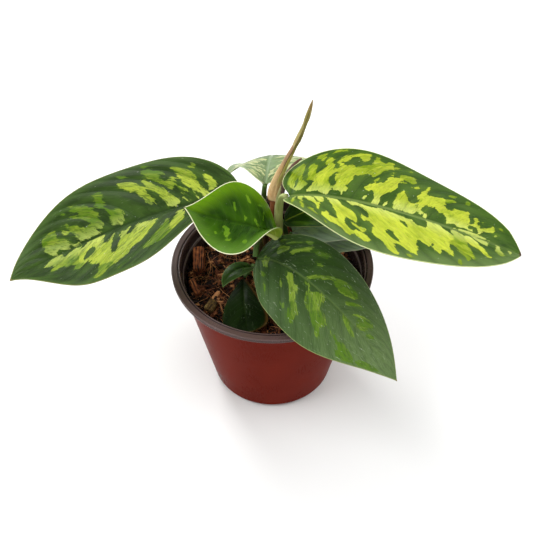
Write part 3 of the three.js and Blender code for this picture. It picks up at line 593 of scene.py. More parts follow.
def blade_point(leaf, q, t, side):
    """A point of a blade: q is its side vein, t the share of the way out, side 1 for left."""
    half = 0 if side > 0 else 1
    width = blade_width(leaf, q, half)
    back = leaf["lobe"] * (q / LOBE_AT) * np.exp(1 - q / LOBE_AT) * (1 - q)
    x = q + (leaf["sweep"] * np.sin(np.pi * q) - back) * t**1.5
    place, heading = cubic(leaf["rib"], x)
    flat_left = unit(np.cross([0, 0, 1], heading))
    flat_up = np.cross(heading, flat_left)
    roll = np.radians(along(leaf["roll"], x))[..., None]
    left = flat_left * np.cos(roll) + flat_up * np.sin(roll)
    up = flat_up * np.cos(roll) - flat_left * np.sin(roll)
    lifted = along(leaf["fold"], x)
    if side > 0:
        lifted = lifted + leaf["curl"] * np.exp(-((x / leaf["curl_reach"]) ** 2))
    lift = np.radians(lifted + leaf["cup"][half] * t / 2)
    waving = np.sin(2 * np.pi * (leaf["waves"] * x + leaf["phase"][half]))
    wave = leaf["wave"][half] * t**2 * waving * np.minimum(1, width / CALM_WIDTH)
    out = side * width * t * np.cos(lift)
    rise = width * t * np.sin(lift) + wave
    return place + left * out[..., None] + up * rise[..., None]


def blade_normal(leaf, q, t, side):
    """The blade's upward direction, taken a little away from its ends and its rib."""
    step = 0.02
    q = np.clip(q, 0.012, 0.988)
    t = np.maximum(t, 0.08)
    forward = blade_point(leaf, q + step / 2, t, side) - blade_point(leaf, q - step / 2, t, side)
    outward = blade_point(leaf, q, t + step, side) - blade_point(leaf, q, t - step, side)
    return unit(np.cross(forward, outward) * side)


def depth_inside(place, corners):
    """How far each point lies inside a closed outline, and under 0 outside it."""
    away = np.full(place.shape[:-1], np.inf)
    inside = np.zeros(place.shape[:-1], dtype=bool)
    for start, end in zip(corners, np.roll(corners, -1, axis=0)):
        run = end - start
        share = np.clip((place - start) @ run / max(run @ run, 1e-9), 0, 1)
        away = np.minimum(away, np.linalg.norm(place - start - share[..., None] * run, axis=-1))
        crosses = (start[1] > place[..., 1]) != (end[1] > place[..., 1])
        slope = run[0] / run[1] if run[1] else 0
        inside ^= crosses & (place[..., 0] < start[0] + slope * (place[..., 1] - start[1]))
    return np.where(inside, away, -away)


# Depths in the patches are told apart up to this many millimetres.
DEEPEST = 6.0


def patch_field(outlines, q, t, length, width):
    """How deep each point lies in the light patches, in millimetres, and how bright they are."""
    place = np.stack([q * length, t * width], axis=-1)
    depth = np.full(q.shape, -DEEPEST)
    tone = np.full(q.shape, 0.4)
    for brightness, outline in sorted(outlines, key=lambda patch: patch[0] < 0):
        corners = np.array(outline, float).reshape(-1, 2) * (length / 1000, width / 100)
        inside = depth_inside(place, corners)
        if brightness < 0:
            depth = np.minimum(depth, -inside)
        else:
            tone = np.where(inside > depth, brightness, tone)
            depth = np.maximum(depth, inside)
    return np.clip(depth, -DEEPEST, DEEPEST), tone


def scattered(seed, count, longest, widest, brightness):
    """Small slanting patches, in the units of PATCHES, for blades whose markings hardly show."""
    dice = random.Random(seed)
    outlines = []
    for _ in range(count):
        q, t = dice.uniform(60, 860), dice.uniform(5, 75)
        end = min(t + dice.uniform(0.3, 1) * longest, 92)
        half = dice.uniform(0.4, 1) * widest
        lean, middle = 2 * (end - t), (t + end) / 2
        outline = [q - half, t, q + 0.3 * lean - half, middle, q + lean, end,
                   q + 0.7 * lean + half, middle, q + half, t]
        outlines.append((dice.uniform(0.5, 1) * brightness, outline))
    return outlines


# A blade's sheet: thickness at the margin and further in, the rib's depth under it and the groove
# over it with how wide each is, and the half-width from which its strips have their whole height.
SHEET = {
    "edge": 0.3, "thickness": 0.55, "rib_depth": 1.1, "rib_spread": 1.3, "groove": 0.55,
    "groove_spread": 0.9, "quilted_from": 26,
}
VEINS_ALONG = 10


def quilting(leaf, half, t, q, vein):
    """Height of the strips between the side veins over the veins' own lines."""
    furrow = (0.5 + 0.5 * np.cos(2 * np.pi * vein * VEINS_ALONG)) ** 2
    relief = leaf["quilt"][half] * min(1, leaf["half_width"][0] / SHEET["quilted_from"])
    return relief * (0.55 - furrow) * np.sin(np.pi * t**0.8) * (1 - q) ** 0.5


def crowded(x, share):
    """Steps from 0 to 1, drawn towards both ends."""
    return (1 - share) * x + share * (1 - np.cos(np.pi * x)) / 2


def blade_half(leaf, outlines, q, t, side):
    """The upper face of one half, and the values that its material reads."""
    half = 0 if side > 0 else 1
    lean, bend = leaf["vein"][half]
    vein = q - lean * t - bend * t**3
    width = blade_width(leaf, q, half)
    length = rib_length(leaf)
    depth, tone = patch_field(outlines[half], q, t, length, leaf["half_width"][half])
    normal = blade_normal(leaf, q, t, side)
    if side < 0:
        normal[:, 0] = unit(normal[:, 0] + blade_normal(leaf, q[:, 0], t[:, 0], 1))
    groove = SHEET["groove"] * np.exp(-((width * t / SHEET["groove_spread"]) ** 2)) * (1 - q) ** 0.7
    height = quilting(leaf, half, t, q, vein) - groove
    outward = side * t * leaf["half_width"][half]
    return {
        "place": blade_point(leaf, q, t, side) + normal * height[..., None],
        "normal": normal,
        "map": np.stack([vein * length / 10, outward / 10], axis=-1),
        "vein": vein * VEINS_ALONG,
        "depth": depth,
        "tone": tone,
        "edge": (1 - t) * width,
        "rib": t * width,
        "reach": q,
    }


def wrapped(upper, lower):
    """A blade's upper rows with its lower ones turned back, and a point at each end."""
    both = np.concatenate([upper, lower[:, ::-1]], axis=1)
    flat = both.reshape(-1, *both.shape[2:])
    return np.concatenate([flat[:1], flat, flat[-1:]])


def make_blade(name, leaf, materials):
    rows, columns = leaf["grid"]
    q_line = crowded(np.linspace(0, 1, rows + 2)[1:-1], 0.45)
    t_half = crowded(np.linspace(0, 1, columns + 1), 0.4)
    sides = np.concatenate([np.ones(columns), -np.ones(columns + 1)])
    q, t = np.meshgrid(q_line, np.concatenate([t_half[:0:-1], t_half]), indexing="ij")
    outlines = PATCHES.get(name) or [
        scattered(seed, *leaf["marks"]) for seed in (name, name[::-1])]
    halves = [
        blade_half(leaf, outlines, q[:, sides == side], t[:, sides == side], side)
        for side in (1, -1)]
    upper = {key: np.concatenate([half[key] for half in halves], axis=1) for key in halves[0]}

    thick = SHEET["edge"] + (SHEET["thickness"] - SHEET["edge"]) * (1 - t**6)
    rib_swell = SHEET["rib_depth"] * np.exp(-((upper["rib"] / SHEET["rib_spread"]) ** 2)) * (1 - q)
    thick = thick + rib_swell
    vertices = wrapped(upper["place"], upper["place"] - upper["normal"] * thick[..., None])
    vertices[0] = leaf["rib"][0]
    vertices[-1] = leaf["rib"][3]

    across = 2 * columns + 1
    slots = []
    for j in range(2 * across):
        under = across <= j < 2 * across - 1
        slots += [int(under)] * (rows + 1)
    piece = make_object(name + "_blade", vertices, loft_faces(rows, 2 * across), materials, slots)
    for label in ("depth", "tone", "edge", "rib", "vein", "reach"):
        add_values(piece, label, wrapped(upper[label], upper[label]))
    add_map(piece, "blade", wrapped(upper["map"], upper["map"]))
    return piece


def vein_lines(paint, width):
    """Lines in the furrows between the quilted strips. width is a part of one strip."""
    wobble = paint.noise(paint.blade_map(1.5, 1.5, 12), detail=1)
    forward = paint.sum(paint.attribute("vein"), (wobble, 0.12))
    return paint.step(paint.math("PINGPONG", forward, 0.5), width, 0.2 * width)


# How much of the light goes into a blade, and how many millimetres its red, green and blue go.
TISSUE = (0.1, (0.4, 1.0, 0.2))


def leaf_paint(name, look):
    """The upper face: greens and lime in ragged blocks along the side veins, rib and margin."""
    paint = Paint(name)
    coarse = paint.blocks(paint.blade_map(5, 2.2, 1.7))
    fine = paint.blocks(paint.blade_map(12, 5, 4.1))
    teeth = paint.noise(paint.blade_map(9, 2.4, 4.1), detail=4, roughness=0.62)
    hatch = paint.noise(paint.blade_map(19, 2.6, 7.3), detail=3, roughness=0.6)
    wash = paint.noise(paint.blade_map(1.1, 0.8, 9.9), detail=3)
    depth, tone, edge, rib, reach = [
        paint.attribute(label) for label in ("depth", "tone", "edge", "rib", "reach")]
    flat = paint.add("ShaderNodeUVMap", {}, uv_map="blade").outputs[0]
    outward = paint.add("ShaderNodeSeparateXYZ", {0: flat}).outputs[1]
    right = paint.step(outward, 0.02, -0.02)

    size = look["ragged"]
    ragged = paint.sum(depth, (coarse, size), (fine, 0.7 * size), (teeth, 1.2 * size))
    light = paint.step(ragged, -0.1, 0.1)
    around = paint.sum(depth, (hatch, 9), (wash, 5), (fine, 1.5))

    left_share, right_share = look["border_share"]
    border_share = paint.math("MULTIPLY_ADD", right, right_share - left_share, left_share)
    ground = paint.cover(
        paint.mix(paint.step(wash, 0.36, 0.66), look["dark"], look["middle"]),
        # Where a look's border is paler grey-green on one half, that is a painted sheen.
        (paint.step(edge, look["border"], 0.5), border_share,
         paint.mix(right, *look["border_colours"])),
        (paint.step(reach, *look["end"]), look["end_share"], look["end_colour"]),
        (paint.step(hatch, 0.42, 0.62), look["streaks"], look["middle"]),
        (paint.step(around, -0.3, 0.3), look["halo"], look["lime_dull"]),
    )
    brightness = paint.sum(tone, (hatch, 1.6), (coarse, 0.3), (wash, 1))
    lime = paint.cover(
        paint.mix(paint.step(brightness, -0.05, 1.15), look["lime_dull"], look["lime"]),
        (paint.step(rib, 10, 0.5), look["pale_share"], look["lime_pale"]),
        (paint.step(hatch, 0.52, 0.66), look["hatching"], look["middle"]),
        (paint.step(fine, 0.84, 0.88), look["islands"], look["middle"]),
    )

    veins = vein_lines(paint, 0.035)
    off_lime = paint.step(light, 1.6, 0)
    scuffs = paint.noise(paint.blade_map(2.2, 9, 2.2), detail=2, distortion=1.6)
    rib_line = paint.step(rib, look["rib_width"], look["rib_width"] * 0.4)
    rim = paint.step(paint.sum(edge, (teeth, 0.5)), look["margin"] * 1.25, look["margin"] * 0.75)
    past_base = paint.step(reach, look["margin_from"] * 0.5, look["margin_from"])
    specks = paint.cells(paint.blade_map(2.6, 2.6, 3))
    colour = paint.cover(
        paint.mix(light, ground, lime),
        # A broad band along each side vein: darker vein tissue, and painted shade in the quilting's furrow.
        (paint.times(vein_lines(paint, 0.3), off_lime), look["furrow"], look["vein"]),
        (paint.times(veins, off_lime), look["vein_share"], look["vein"]),
        (paint.step(scuffs, 0.64, 0.74), look["scuffs"], (150, 166, 132)),
        (paint.times(rib_line, paint.step(reach, 1.15, 0.5)), look["rib_share"], look["rib"]),
        (rim, past_base, look["margin_colour"]),
        (paint.step(paint.sum(reach, (teeth, 0.01)), 0.985, 0.995), 1, look["tip"]),
        (paint.step(specks, 0.065, 0.035), look["specks"], (205, 214, 190)),
    )
    pores = paint.cells(paint.blade_map(16, 16, 5))
    gloss = paint.sum(look["roughness"], (wash, 0.2), (hatch, 0.12))
    paint.flesh(*TISSUE)
    return paint.finished(
        colour, gloss, look["specular"],
        (hatch, 0.05), (pores, 0.02), (light, 0.015), (veins, -0.08))


def under_paint(name, look):
    """The lower face: paler and matt, with raised veins and the patches showing through."""
    paint = Paint(name)
    hatch = paint.noise(paint.blade_map(14, 2.4, 3.3), detail=3)
    wash = paint.noise(paint.blade_map(1.3, 1.0, 6.1), detail=2)
    depth = paint.sum(paint.attribute("depth"), (hatch, 6))
    veins = paint.times(vein_lines(paint, 0.035), 0.35)
    rim = paint.step(paint.attribute("edge"), look["margin"] * 1.3, look["margin"] * 0.8)
    past_base = paint.step(paint.attribute("reach"), look["margin_from"] * 0.5, look["margin_from"])
    colour = paint.cover(
        paint.mix(paint.step(wash, 0.35, 0.65), look["under"], look["under_light"]),
        (paint.step(depth, -0.5, 0.8), 0.55, look["under_patch"]),
        (veins, 1, look["under_rib"]),
        (paint.step(paint.attribute("rib"), 1.4, 0.7), 0.8, look["under_rib"]),
        (rim, past_base, look["margin_colour"]),
    )
    paint.flesh(*TISSUE)
    return paint.finished(colour, paint.sum(0.58, (wash, 0.2)), 0.15, (hatch, 0.12), (veins, 0.15))


# Looks of the blades: what they share, and then what differs. A share is how strongly a colour
# covers those under it. ragged is how far the patches' outlines stray, margin the width of the rim
# and border how far in its colour runs, all in millimetres. The border's pairs are for the left
# and the right half. end is where the tip's colour begins and where it is full, in shares of length.
# furrow is the share of that broad band along the side veins, which is partly painted shade.
BASE_LOOK = {
    "slot": "leaf_dark", "dark": (54, 76, 34), "middle": (66, 92, 38), "lime": (176, 188, 56),
    "lime_dull": (106, 132, 34), "lime_pale": (204, 214, 120), "pale_share": 0, "ragged": 1.5,
    "halo": 0.3, "hatching": 0.35, "islands": 0.5, "border": 5, "border_share": (0.4, 0.4),
    "border_colours": ((80, 106, 50), (80, 106, 50)), "end": (0.3, 0.9), "end_share": 0,
    "end_colour": (104, 126, 76), "streaks": 0.18, "vein": (34, 54, 22), "vein_share": 0.3,
    "rib": (84, 108, 54), "rib_width": 1.2, "rib_share": 0.7, "margin": 0.4,
    "margin_colour": (180, 184, 136), "tip": (120, 110, 70), "roughness": 0.36, "specular": 0.1,
    "specks": 0.6, "furrow": 0.2, "scuffs": 0.15, "margin_from": 0.01, "under": (90, 122, 66),
    "under_light": (112, 140, 84), "under_patch": (156, 174, 80), "under_rib": (150, 168, 108),
}
LEAF_LOOKS = {
    "bright": {
        "slot": "leaf_bright", "dark": (52, 78, 26), "middle": (72, 98, 38), "lime": (188, 198, 60),
        "lime_dull": (100, 128, 10), "pale_share": 0.6, "islands": 0.2, "ragged": 0.75,
        "rib": (116, 136, 72), "tip": (70, 44, 30), "margin_colour": (196, 204, 146),
        "specular": 0.05, "border": 12, "border_share": (0.6, 0.8),
        # The right half's grey-green border is a painted sheen.
        "border_colours": ((56, 86, 20), (100, 122, 68)),
    },
    "mottled": {
        "slot": "leaf_mottled", "dark": (32, 50, 14), "middle": (52, 75, 25),
        "lime": (162, 176, 58), "lime_dull": (70, 102, 12), "hatching": 0.6, "ragged": 1.1,
        "specular": 0.04, "streaks": 0.3, "pale_share": 0.35, "rib": (38, 58, 22),
        "margin_colour": (128, 130, 78), "margin": 0.3,
    },
    "dark": {
        "dark": (44, 66, 28), "middle": (58, 82, 40), "lime": (158, 182, 70),
        "lime_dull": (80, 114, 28), "ragged": 1.1, "furrow": 0.1, "scuffs": 0.7, "streaks": 0.5,
        # The right half's grey-green border is a painted sheen.
        "border": 22, "border_share": (0.6, 0.55), "border_colours": ((38, 64, 12), (82, 106, 62)),
        "hatching": 0.55, "rib": (92, 114, 60), "rib_share": 0.6, "rib_width": 0.8,
        "margin_colour": (140, 150, 96), "margin": 0.25, "end_share": 0.85,
    },
    "young": {
        "slot": "leaf_new", "dark": (26, 54, 2), "middle": (46, 80, 3), "lime": (112, 144, 30),
        "lime_dull": (72, 112, 16), "ragged": 0.7, "halo": 0.1, "islands": 0, "rib": (36, 62, 14),
        "rib_width": 1, "rib_share": 0.5, "margin": 0.36, "specks": 0.15, "scuffs": 0,
        "margin_from": 0.16, "vein": (70, 104, 30), "furrow": 0.1, "margin_colour": (226, 226, 188),
        "border": 12, "border_share": (0.85, 0.85), "border_colours": ((84, 120, 38), (98, 140, 6)),
        "roughness": 0.3, "specular": 0.04, "under": (96, 116, 22), "under_light": (116, 134, 36),
        "under_patch": (120, 138, 36), "vein_share": 0.12, "under_rib": (176, 182, 104),
    },
    # The whitish greens of this look's upper face are a painted sheen; the leaf itself is greener.
    "pale": {
        "slot": "leaf_pale", "dark": (92, 112, 72), "middle": (114, 134, 94),
        "lime": (192, 194, 142), "lime_dull": (148, 158, 108), "end": (0.8, 0.9), "end_share": 0.85,
        "end_colour": (112, 140, 56), "hatching": 0.2, "scuffs": 0, "rib": (134, 152, 116),
        "border_colours": ((118, 138, 94), (118, 138, 94)), "ragged": 1,
        "margin_colour": (184, 192, 146), "vein": (136, 156, 112), "under": (104, 138, 50),
        "under_light": (124, 154, 66), "under_patch": (164, 182, 92),
    },
    "shaded": {
        "dark": (24, 46, 6), "middle": (32, 58, 6), "lime": (64, 92, 20), "lime_dull": (44, 72, 12),
        "halo": 0.1, "rib": (120, 138, 40), "specks": 0.2, "specular": 0.03, "rib_width": 0.6,
        "border_colours": ((40, 66, 28), (40, 66, 28)), "margin_colour": (110, 120, 74),
        "margin": 0.25,
    },
    "fallen": {
        "dark": (14, 26, 7), "middle": (24, 40, 11), "rib": (32, 46, 14), "rib_width": 0.6,
        "rib_share": 0.5, "vein_share": 0.1, "furrow": 0, "specks": 0.2, "border_share": (0.6, 0.2),
        "border": 2.4, "border_colours": ((104, 66, 30), (26, 42, 12)), "specular": 0.05,
        "margin": 0.2, "margin_colour": (60, 60, 26),
    },
    # The light grey-greens of this look are a painted sheen, on low leaves that lie in shade.
    "grey": {
        "slot": "leaf_grey", "dark": (148, 166, 142), "middle": (164, 182, 156),
        "lime": (172, 192, 148), "lime_dull": (156, 176, 138), "halo": 0.1, "rib": (190, 202, 168),
        "rib_width": 0.6, "border_colours": ((160, 176, 150), (160, 176, 150)), "specks": 0.2,
        "margin_colour": (176, 184, 152), "margin": 0.3,
    },
    "small": {
        "slot": "leaf_mottled", "dark": (15, 31, 9), "middle": (23, 44, 13), "lime": (50, 80, 20),
        "lime_dull": (40, 68, 18), "halo": 0.1, "margin_colour": (104, 130, 74), "specks": 0.15,
        "rib_share": 0.35, "vein_share": 0.1, "furrow": 0.06, "scuffs": 0, "margin": 0.25,
        "rib_width": 0.5, "roughness": 0.28,
    },
}
LOOKS = {name: {**BASE_LOOK, **changes} for name, changes in LEAF_LOOKS.items()}
LEAF_SKINS = {
    name: [leaf_paint("leaf_" + name, look), under_paint("leaf_under_" + name, look)]
    for name, look in LOOKS.items()
}


def rounded(profile, reach, steps):
    """The profile with each inner corner turned into a small arc."""
    points = [profile[0]]
    for before, corner, after in zip(profile, profile[1:], profile[2:]):
        corner = np.array(corner, float)
        ends = []
        for other in (before, after):
            away = np.array(other, float) - corner
            size = np.linalg.norm(away)
            ends.append(corner + away / size * min(reach, 0.45 * size))
        for u in np.linspace(0, 1, steps + 1):
            point = (1 - u) ** 2 * ends[0] + 2 * u * (1 - u) * corner + u * u * ends[1]
            points.append(tuple(point))
    return points + [profile[-1]]


def circle(count):
    """Points round a circle of radius 1."""
    angles = [2 * math.pi * k / count for k in range(count)]
    return [(math.cos(angle), math.sin(angle)) for angle in angles]


def revolve(profile, sides):
    """Rings round the upright axis; the profile starts and ends on the axis."""
    vertices = [(0, 0, profile[0][1])]
    for radius, height in profile[1:-1]:
        vertices += [(radius * x, radius * y, height) for x, y in circle(sides)]
    vertices.append((0, 0, profile[-1][1]))
    return vertices, loft_faces(len(profile) - 2, sides)


def cut_holes(piece):
    """Drain holes through the pot's floor."""
    radius, low, high = POT["drain_radius"], -3, 5
    vertices, faces = revolve([(0, low), (radius, low), (radius, high), (0, high)], 40)
    for x, y in circle(POT["drains"]):
        middle = (POT["drain_circle"] * x, POT["drain_circle"] * y, 0)
        drill = make_object("drill", np.add(vertices, middle), turned_outward(faces), [])
        cutter = piece.modifiers.new("drain", "BOOLEAN")
        cutter.object = drill
        cutter.solver = "EXACT"
        bpy.context.view_layer.update()
        done = piece.evaluated_get(bpy.context.evaluated_depsgraph_get())
        mesh = bpy.data.meshes.new_from_object(done)
        piece.modifiers.clear()
        piece.data = mesh
        bpy.data.objects.remove(drill)


# The lip from its lower edge round to its inner edge: how far in from its rim, and how far down.
# A ridge, a broad flat band, a groove and a thin bead.
LIP = [
    (0.3, 2.8), (0.08, 2.4), (0.2, 1.7), (0.42, 1.25), (0.08, 0.85), (0, 0.45), (0.25, 0.05),
    (0.7, 0), (1.2, 0.12), (3.1, 0.12), (3.35, 0.35), (3.55, 0.85), (3.8, 0.85), (4, 0.35),
    (4.35, 0.2), (4.7, 0.45), (4.9, 0.95), (5, 1.3),
]

# The bead over the pot's inner ledge: how far out from the inner face, and how far up.
BEAD = [(0.1, 1.4), (-0.35, 1.1), (-0.5, 0.5), (-0.3, 0)]

# Places of the painted shade and the painted highlight on the lip, in the centimetres of body_map:
# height and radius where its outer side ends, and radii of the groove in its top, of its inner edge
# and of the ledge under it.
LIP_MARKS = {"top": 8.3, "side": 5.4, "groove": 5.135, "edge": 5.01, "ledge": 4.875}


def lip_painted_light_and_dots(paint):
    """Painted shade on the lip's outer side, in its groove and inside the pot, a painted highlight
    on the ledge, and a few dark dots.
    """
    level = paint.body_map(1, 0)
    radius = paint.add("ShaderNodeVectorMath", {0: level}, operation="LENGTH").outputs["Value"]
    height = paint.add("ShaderNodeSeparateXYZ", {0: paint.body_map(1)}).outputs[2]
    top, side, groove, edge, ledge = LIP_MARKS.values()
    outer = paint.times(
        paint.step(radius, side - 0.02, side + 0.02), paint.step(height, top + 0.04, top))
    return [
        # Painted shade on the lip's outer side, inside the pot and in the lip's groove.
        (outer, 0.65, (60, 42, 38)),
        (paint.step(radius, edge, edge - 0.03), 0.7, (26, 19, 17)),
        (paint.step(paint.away(radius, groove), 0.05, 0.02), 0.8, (36, 26, 23)),
        # A painted highlight on the bead over the ledge.
        (paint.step(paint.away(radius, ledge), 0.03, 0.01), 0.7, (140, 122, 116)),
        (paint.step(paint.cells(paint.body_map(1.1)), 0.05, 0.035), 0.85, (28, 20, 18)),
    ]


def pot_paint(name, base, light, dark, roughness, specular, scuffs, marks=None):
    """Thin moulded plastic: a satin skin with faint flow marks, dust and scuffs."""
    paint = Paint(name)
    cloud = paint.noise(paint.body_map(0.5, 0.35))
    grain = paint.noise(paint.body_map(9), detail=3, roughness=0.7)
    scratches = paint.noise(paint.body_map(14, 0.8), distortion=0.6)
    rings = paint.noise(paint.body_map(0.25, 9), detail=3)
    colour = paint.cover(
        paint.mix(paint.step(cloud, 0.25, 0.75), dark, base),
        (paint.step(rings, 0.5, 0.72), 0.15, light),
        (paint.step(scratches, 0.66, 0.74), scuffs, light),
        (paint.step(paint.cells(paint.body_map(5)), 0.07, 0.03), 0.35, (150, 120, 108)),
        *(marks(paint) if marks else []),
    )
    satin = paint.sum(roughness, (cloud, 0.2), (scratches, 0.15))
    return paint.finished(
        colour, satin, specular, (grain, 0.004), (cloud, 0.03), (scratches, 0.003))


def make_pot():
    wall, floor, step, foot, corner = [
        POT[key] for key in ("wall", "floor", "shoulder_step", "base_radius", "foot_corner")]
    inner = POT["lip_radius"] - POT["lip_width"]
    shoulder = inner + wall - step
    ledge = POT["shoulder_height"] + step
    lip_under = POT["height"] - POT["lip_drop"]
    outside = [
        (0, POT["recess"]), (POT["recess_radius"] - 1, POT["recess"]), (POT["recess_radius"], 0),
        (foot - corner, 0), (foot, corner), (shoulder - step, POT["shoulder_height"]),
        (shoulder, ledge), (inner + wall, lip_under),
    ]
    lip = [(POT["lip_radius"] - inward, POT["height"] - drop) for inward, drop in LIP]
    bead = [(shoulder - wall + out, ledge + wall + up) for out, up in BEAD]
    inside = [(shoulder - step - wall, ledge), (foot - wall, floor), (0, floor)]
    profile = rounded(outside + lip + bead + inside, reach=0.3, steps=4)
    vertices, faces = revolve(profile, POT["sides"])
    lip_start = next(k for k, point in enumerate(profile) if point[1] > lip_under - 0.01)
    slots = [int(k >= lip_start) for k in range(len(profile) - 1)] * POT["sides"]
    skins = [
        pot_paint("pot_wall", (105, 32, 21), (118, 45, 33), (95, 27, 17),
                  roughness=0.3, specular=0.006, scuffs=0.25),
        pot_paint("pot_rim", (94, 74, 71), (107, 87, 83), (84, 65, 61),
                  roughness=0.24, specular=0.25, scuffs=0.1, marks=lip_painted_light_and_dots),
    ]
    piece = make_object("nursery_pot", vertices, turned_outward(faces), skins, slots)
    cut_holes(piece)
    return piece


def soil_height(x, y):
    """The mix's height at a point: slow waves over a shallow dip, with crumbs and pits."""
    waves = (np.sin(x / 4.1 + 0.7) * np.cos(y / 3.7) + 0.6 * np.sin(x / 2.2 - y / 2.9)
             + 0.5 * np.cos((x + 2 * y) / 6.3))
    dip = 0.8 * (np.hypot(x, y) / POT["base_radius"]) ** 2
    level = SOIL["level"] + SOIL["relief"] * 0.5 * waves - dip
    crumbs = noise.fractal((x / 2.4, y / 2.4, 4), 1, 2, 4)
    pits = max(0, noise.noise((x / 5, y / 5, 9)))
    return float(level) + 0.9 * crumbs - 2.2 * pits


def soil_paint():
    """Dark damp crumbs between the chips, with painted shade in the hollows between the clods."""
    paint = Paint("mix_crumbs")
    clods = paint.cells(paint.body_map(5.5))
    hue = paint.noise(paint.body_map(2.2), detail=5, roughness=0.7)
    fine = paint.noise(paint.body_map(12), detail=4, roughness=0.75)
    colour = paint.cover(
        paint.mix(paint.step(hue, 0.35, 0.7), (16, 9, 5), (50, 26, 15)),
        (paint.step(fine, 0.58, 0.75), 1, (96, 54, 32)),
        # Painted shade, near black, in the hollows between the clods.
        (paint.step(clods, 0.1, 0.6), 1, (12, 7, 4)),
    )
    return paint.finished(colour, 0.92, 0.2, (clods, -0.9), (fine, 0.5))


def make_soil():
    gap = SOIL["gap"]
    inner_top = POT["lip_radius"] - POT["lip_width"] - 2 * POT["shoulder_step"] - gap
    inner_base = POT["base_radius"] - POT["wall"] - gap
    bottom = POT["floor"] + gap
    side_top = SOIL["level"] - SOIL["edge_drop"]
    share = side_top / (POT["shoulder_height"] + POT["shoulder_step"])
    edge = inner_base + (inner_top - inner_base) * share - gap
    ring = circle(SOIL["sides"])
    vertices = [(0, 0, bottom)]
    for radius, height in ((inner_base - gap, bottom), (edge, side_top)):
        vertices += [(radius * x, radius * y, height) for x, y in ring]
    for step in range(SOIL["rings"]):
        radius = edge * (1 - step / SOIL["rings"])
        places = [(radius * x, radius * y) for x, y in ring]
        vertices += [(x, y, soil_height(x, y)) for x, y in places]
    vertices.append((0, 0, soil_height(0, 0)))
    faces = turned_outward(loft_faces(SOIL["rings"] + 2, SOIL["sides"]))
    return make_object("planting_mix", vertices, faces, [soil_paint()])


def husk_paint(name, dark, middle, light):
    """Coir and bark: split along the grain, with pale broken fibres."""
    paint = Paint(name)
    grain = paint.noise(paint.body_map(7.5), detail=5, roughness=0.7)
    fine = paint.noise(paint.body_map(16), detail=3, roughness=0.7)
    shade = paint.sum(paint.attribute("tone"), (grain, 0.9), (fine, 0.7))
    colour = paint.mix(paint.step(shade, 0.0, 0.55), dark, middle)
    colour = paint.mix(paint.step(shade, 0.55, 1.05), colour, light)
    return paint.finished(colour, 0.85, 0.2, (fine, 0.4), (grain, 0.6))


def husk_block(size, seed):
    """One chunk of husk lying along Y: a block with ragged ends and ridges along its grain."""
    rows, around = 30, 64
    wide, long, thick = [value / 2 for value in size]
    vertices = [(0, -long * 0.96, 0)]
    tones = [0.2]
    for row in range(rows):
        share = -1 + 2 * row / (rows - 1)
        shrink = 1 - 0.35 * max(0, abs(share) - 0.93) / 0.07
        for x, z in circle(around):
            square = (abs(x) ** 4 + abs(z) ** 4) ** -0.25
            ridge = noise.noise((3.4 * x, share * 0.7, 3.4 * z + seed))
            broken = noise.noise((2.3 * x + seed, share * 3, 2.3 * z))
            split = noise.noise((7 * x, share * 0.6 + seed, 7 * z))
            r = square * shrink * (0.86 + 0.1 * ridge + 0.06 * broken + 0.14 * split)
            end = 0.06 * noise.noise((5 * x, 5 * z, seed + share)) * (abs(share) ** 6)
            vertices.append((wide * x * r, long * (share * 0.97 + end), thick * z * r))
            tones.append(0.4 + 1.1 * split + 0.5 * broken)
    vertices.append((0, long * 0.96, 0))
    tones.append(0.2)
    return vertices, loft_faces(rows, around), tones


def placed(vertices, at, turn, lean):
    """The points leant about X, turned about Z and moved, with both angles in degrees."""
    lean, turn = math.radians(lean), math.radians(turn)
    result = []
    for x, y, z in vertices:
        y, z = y * math.cos(lean) - z * math.sin(lean), y * math.sin(lean) + z * math.cos(lean)
        x, y = x * math.cos(turn) - y * math.sin(turn), x * math.sin(turn) + y * math.cos(turn)
        result.append((x + at[0], y + at[1], z + at[2]))
    return result


# The larger chips: middle, size across, along and through, and how far one is turned and leans.
CHIPS = {
    "husk_chunk": ([-40.8, 8.6, 76], [7.2, 17, 8], 2, 6),
    "husk_chip_front_left": ([-32.6, -23.4, 74.6], [5.6, 7, 4], -30, 12),
    "husk_chip_left": ([-42, -10, 74.5], [4, 11, 3], 25, 8),
    "husk_chip_right": ([38, -8, 74.5], [11, 5, 4], 35, -9),
    "husk_chip_back": ([14, 37, 74.5], [12, 6, 4], -20, 7),
    "husk_chip_back_left": ([-21, 30, 74.5], [7, 13, 4], 50, -8),
}

# Bits strewn over the mix, out to reach from its middle. A fibre turns back at turn_at, and every
# so many is a long one.
CRUMBS = {"seed": 11, "count": 3000, "reach": 45.5, "sides": 6}
FIBRES = {
    "seed": 5, "count": 2000, "reach": 44, "sides": 4, "steps": 9, "turn_at": 46, "long_every": 25,
}


class Heap:
    """Many small bits in one mesh, each with a tone of its own."""

    def __init__(self):
        self.vertices, self.faces, self.tones = [], [], []

    def add(self, bit, faces, tone):
        start = len(self.vertices)
        self.vertices += bit
        self.faces += [tuple(start + corner for corner in face) for face in faces]
        self.tones += [tone] * len(bit)

    def piece(self, name, material, smooth):
        piece = make_object(name, self.vertices, self.faces, [material], smooth=smooth)
        add_values(piece, "tone", self.tones)
        return piece


def strewn(dice, reach):
    """A random place on the mix."""
    radius, angle = reach * math.sqrt(dice.random()), dice.uniform(0, 2 * math.pi)
    return radius * math.cos(angle), radius * math.sin(angle)


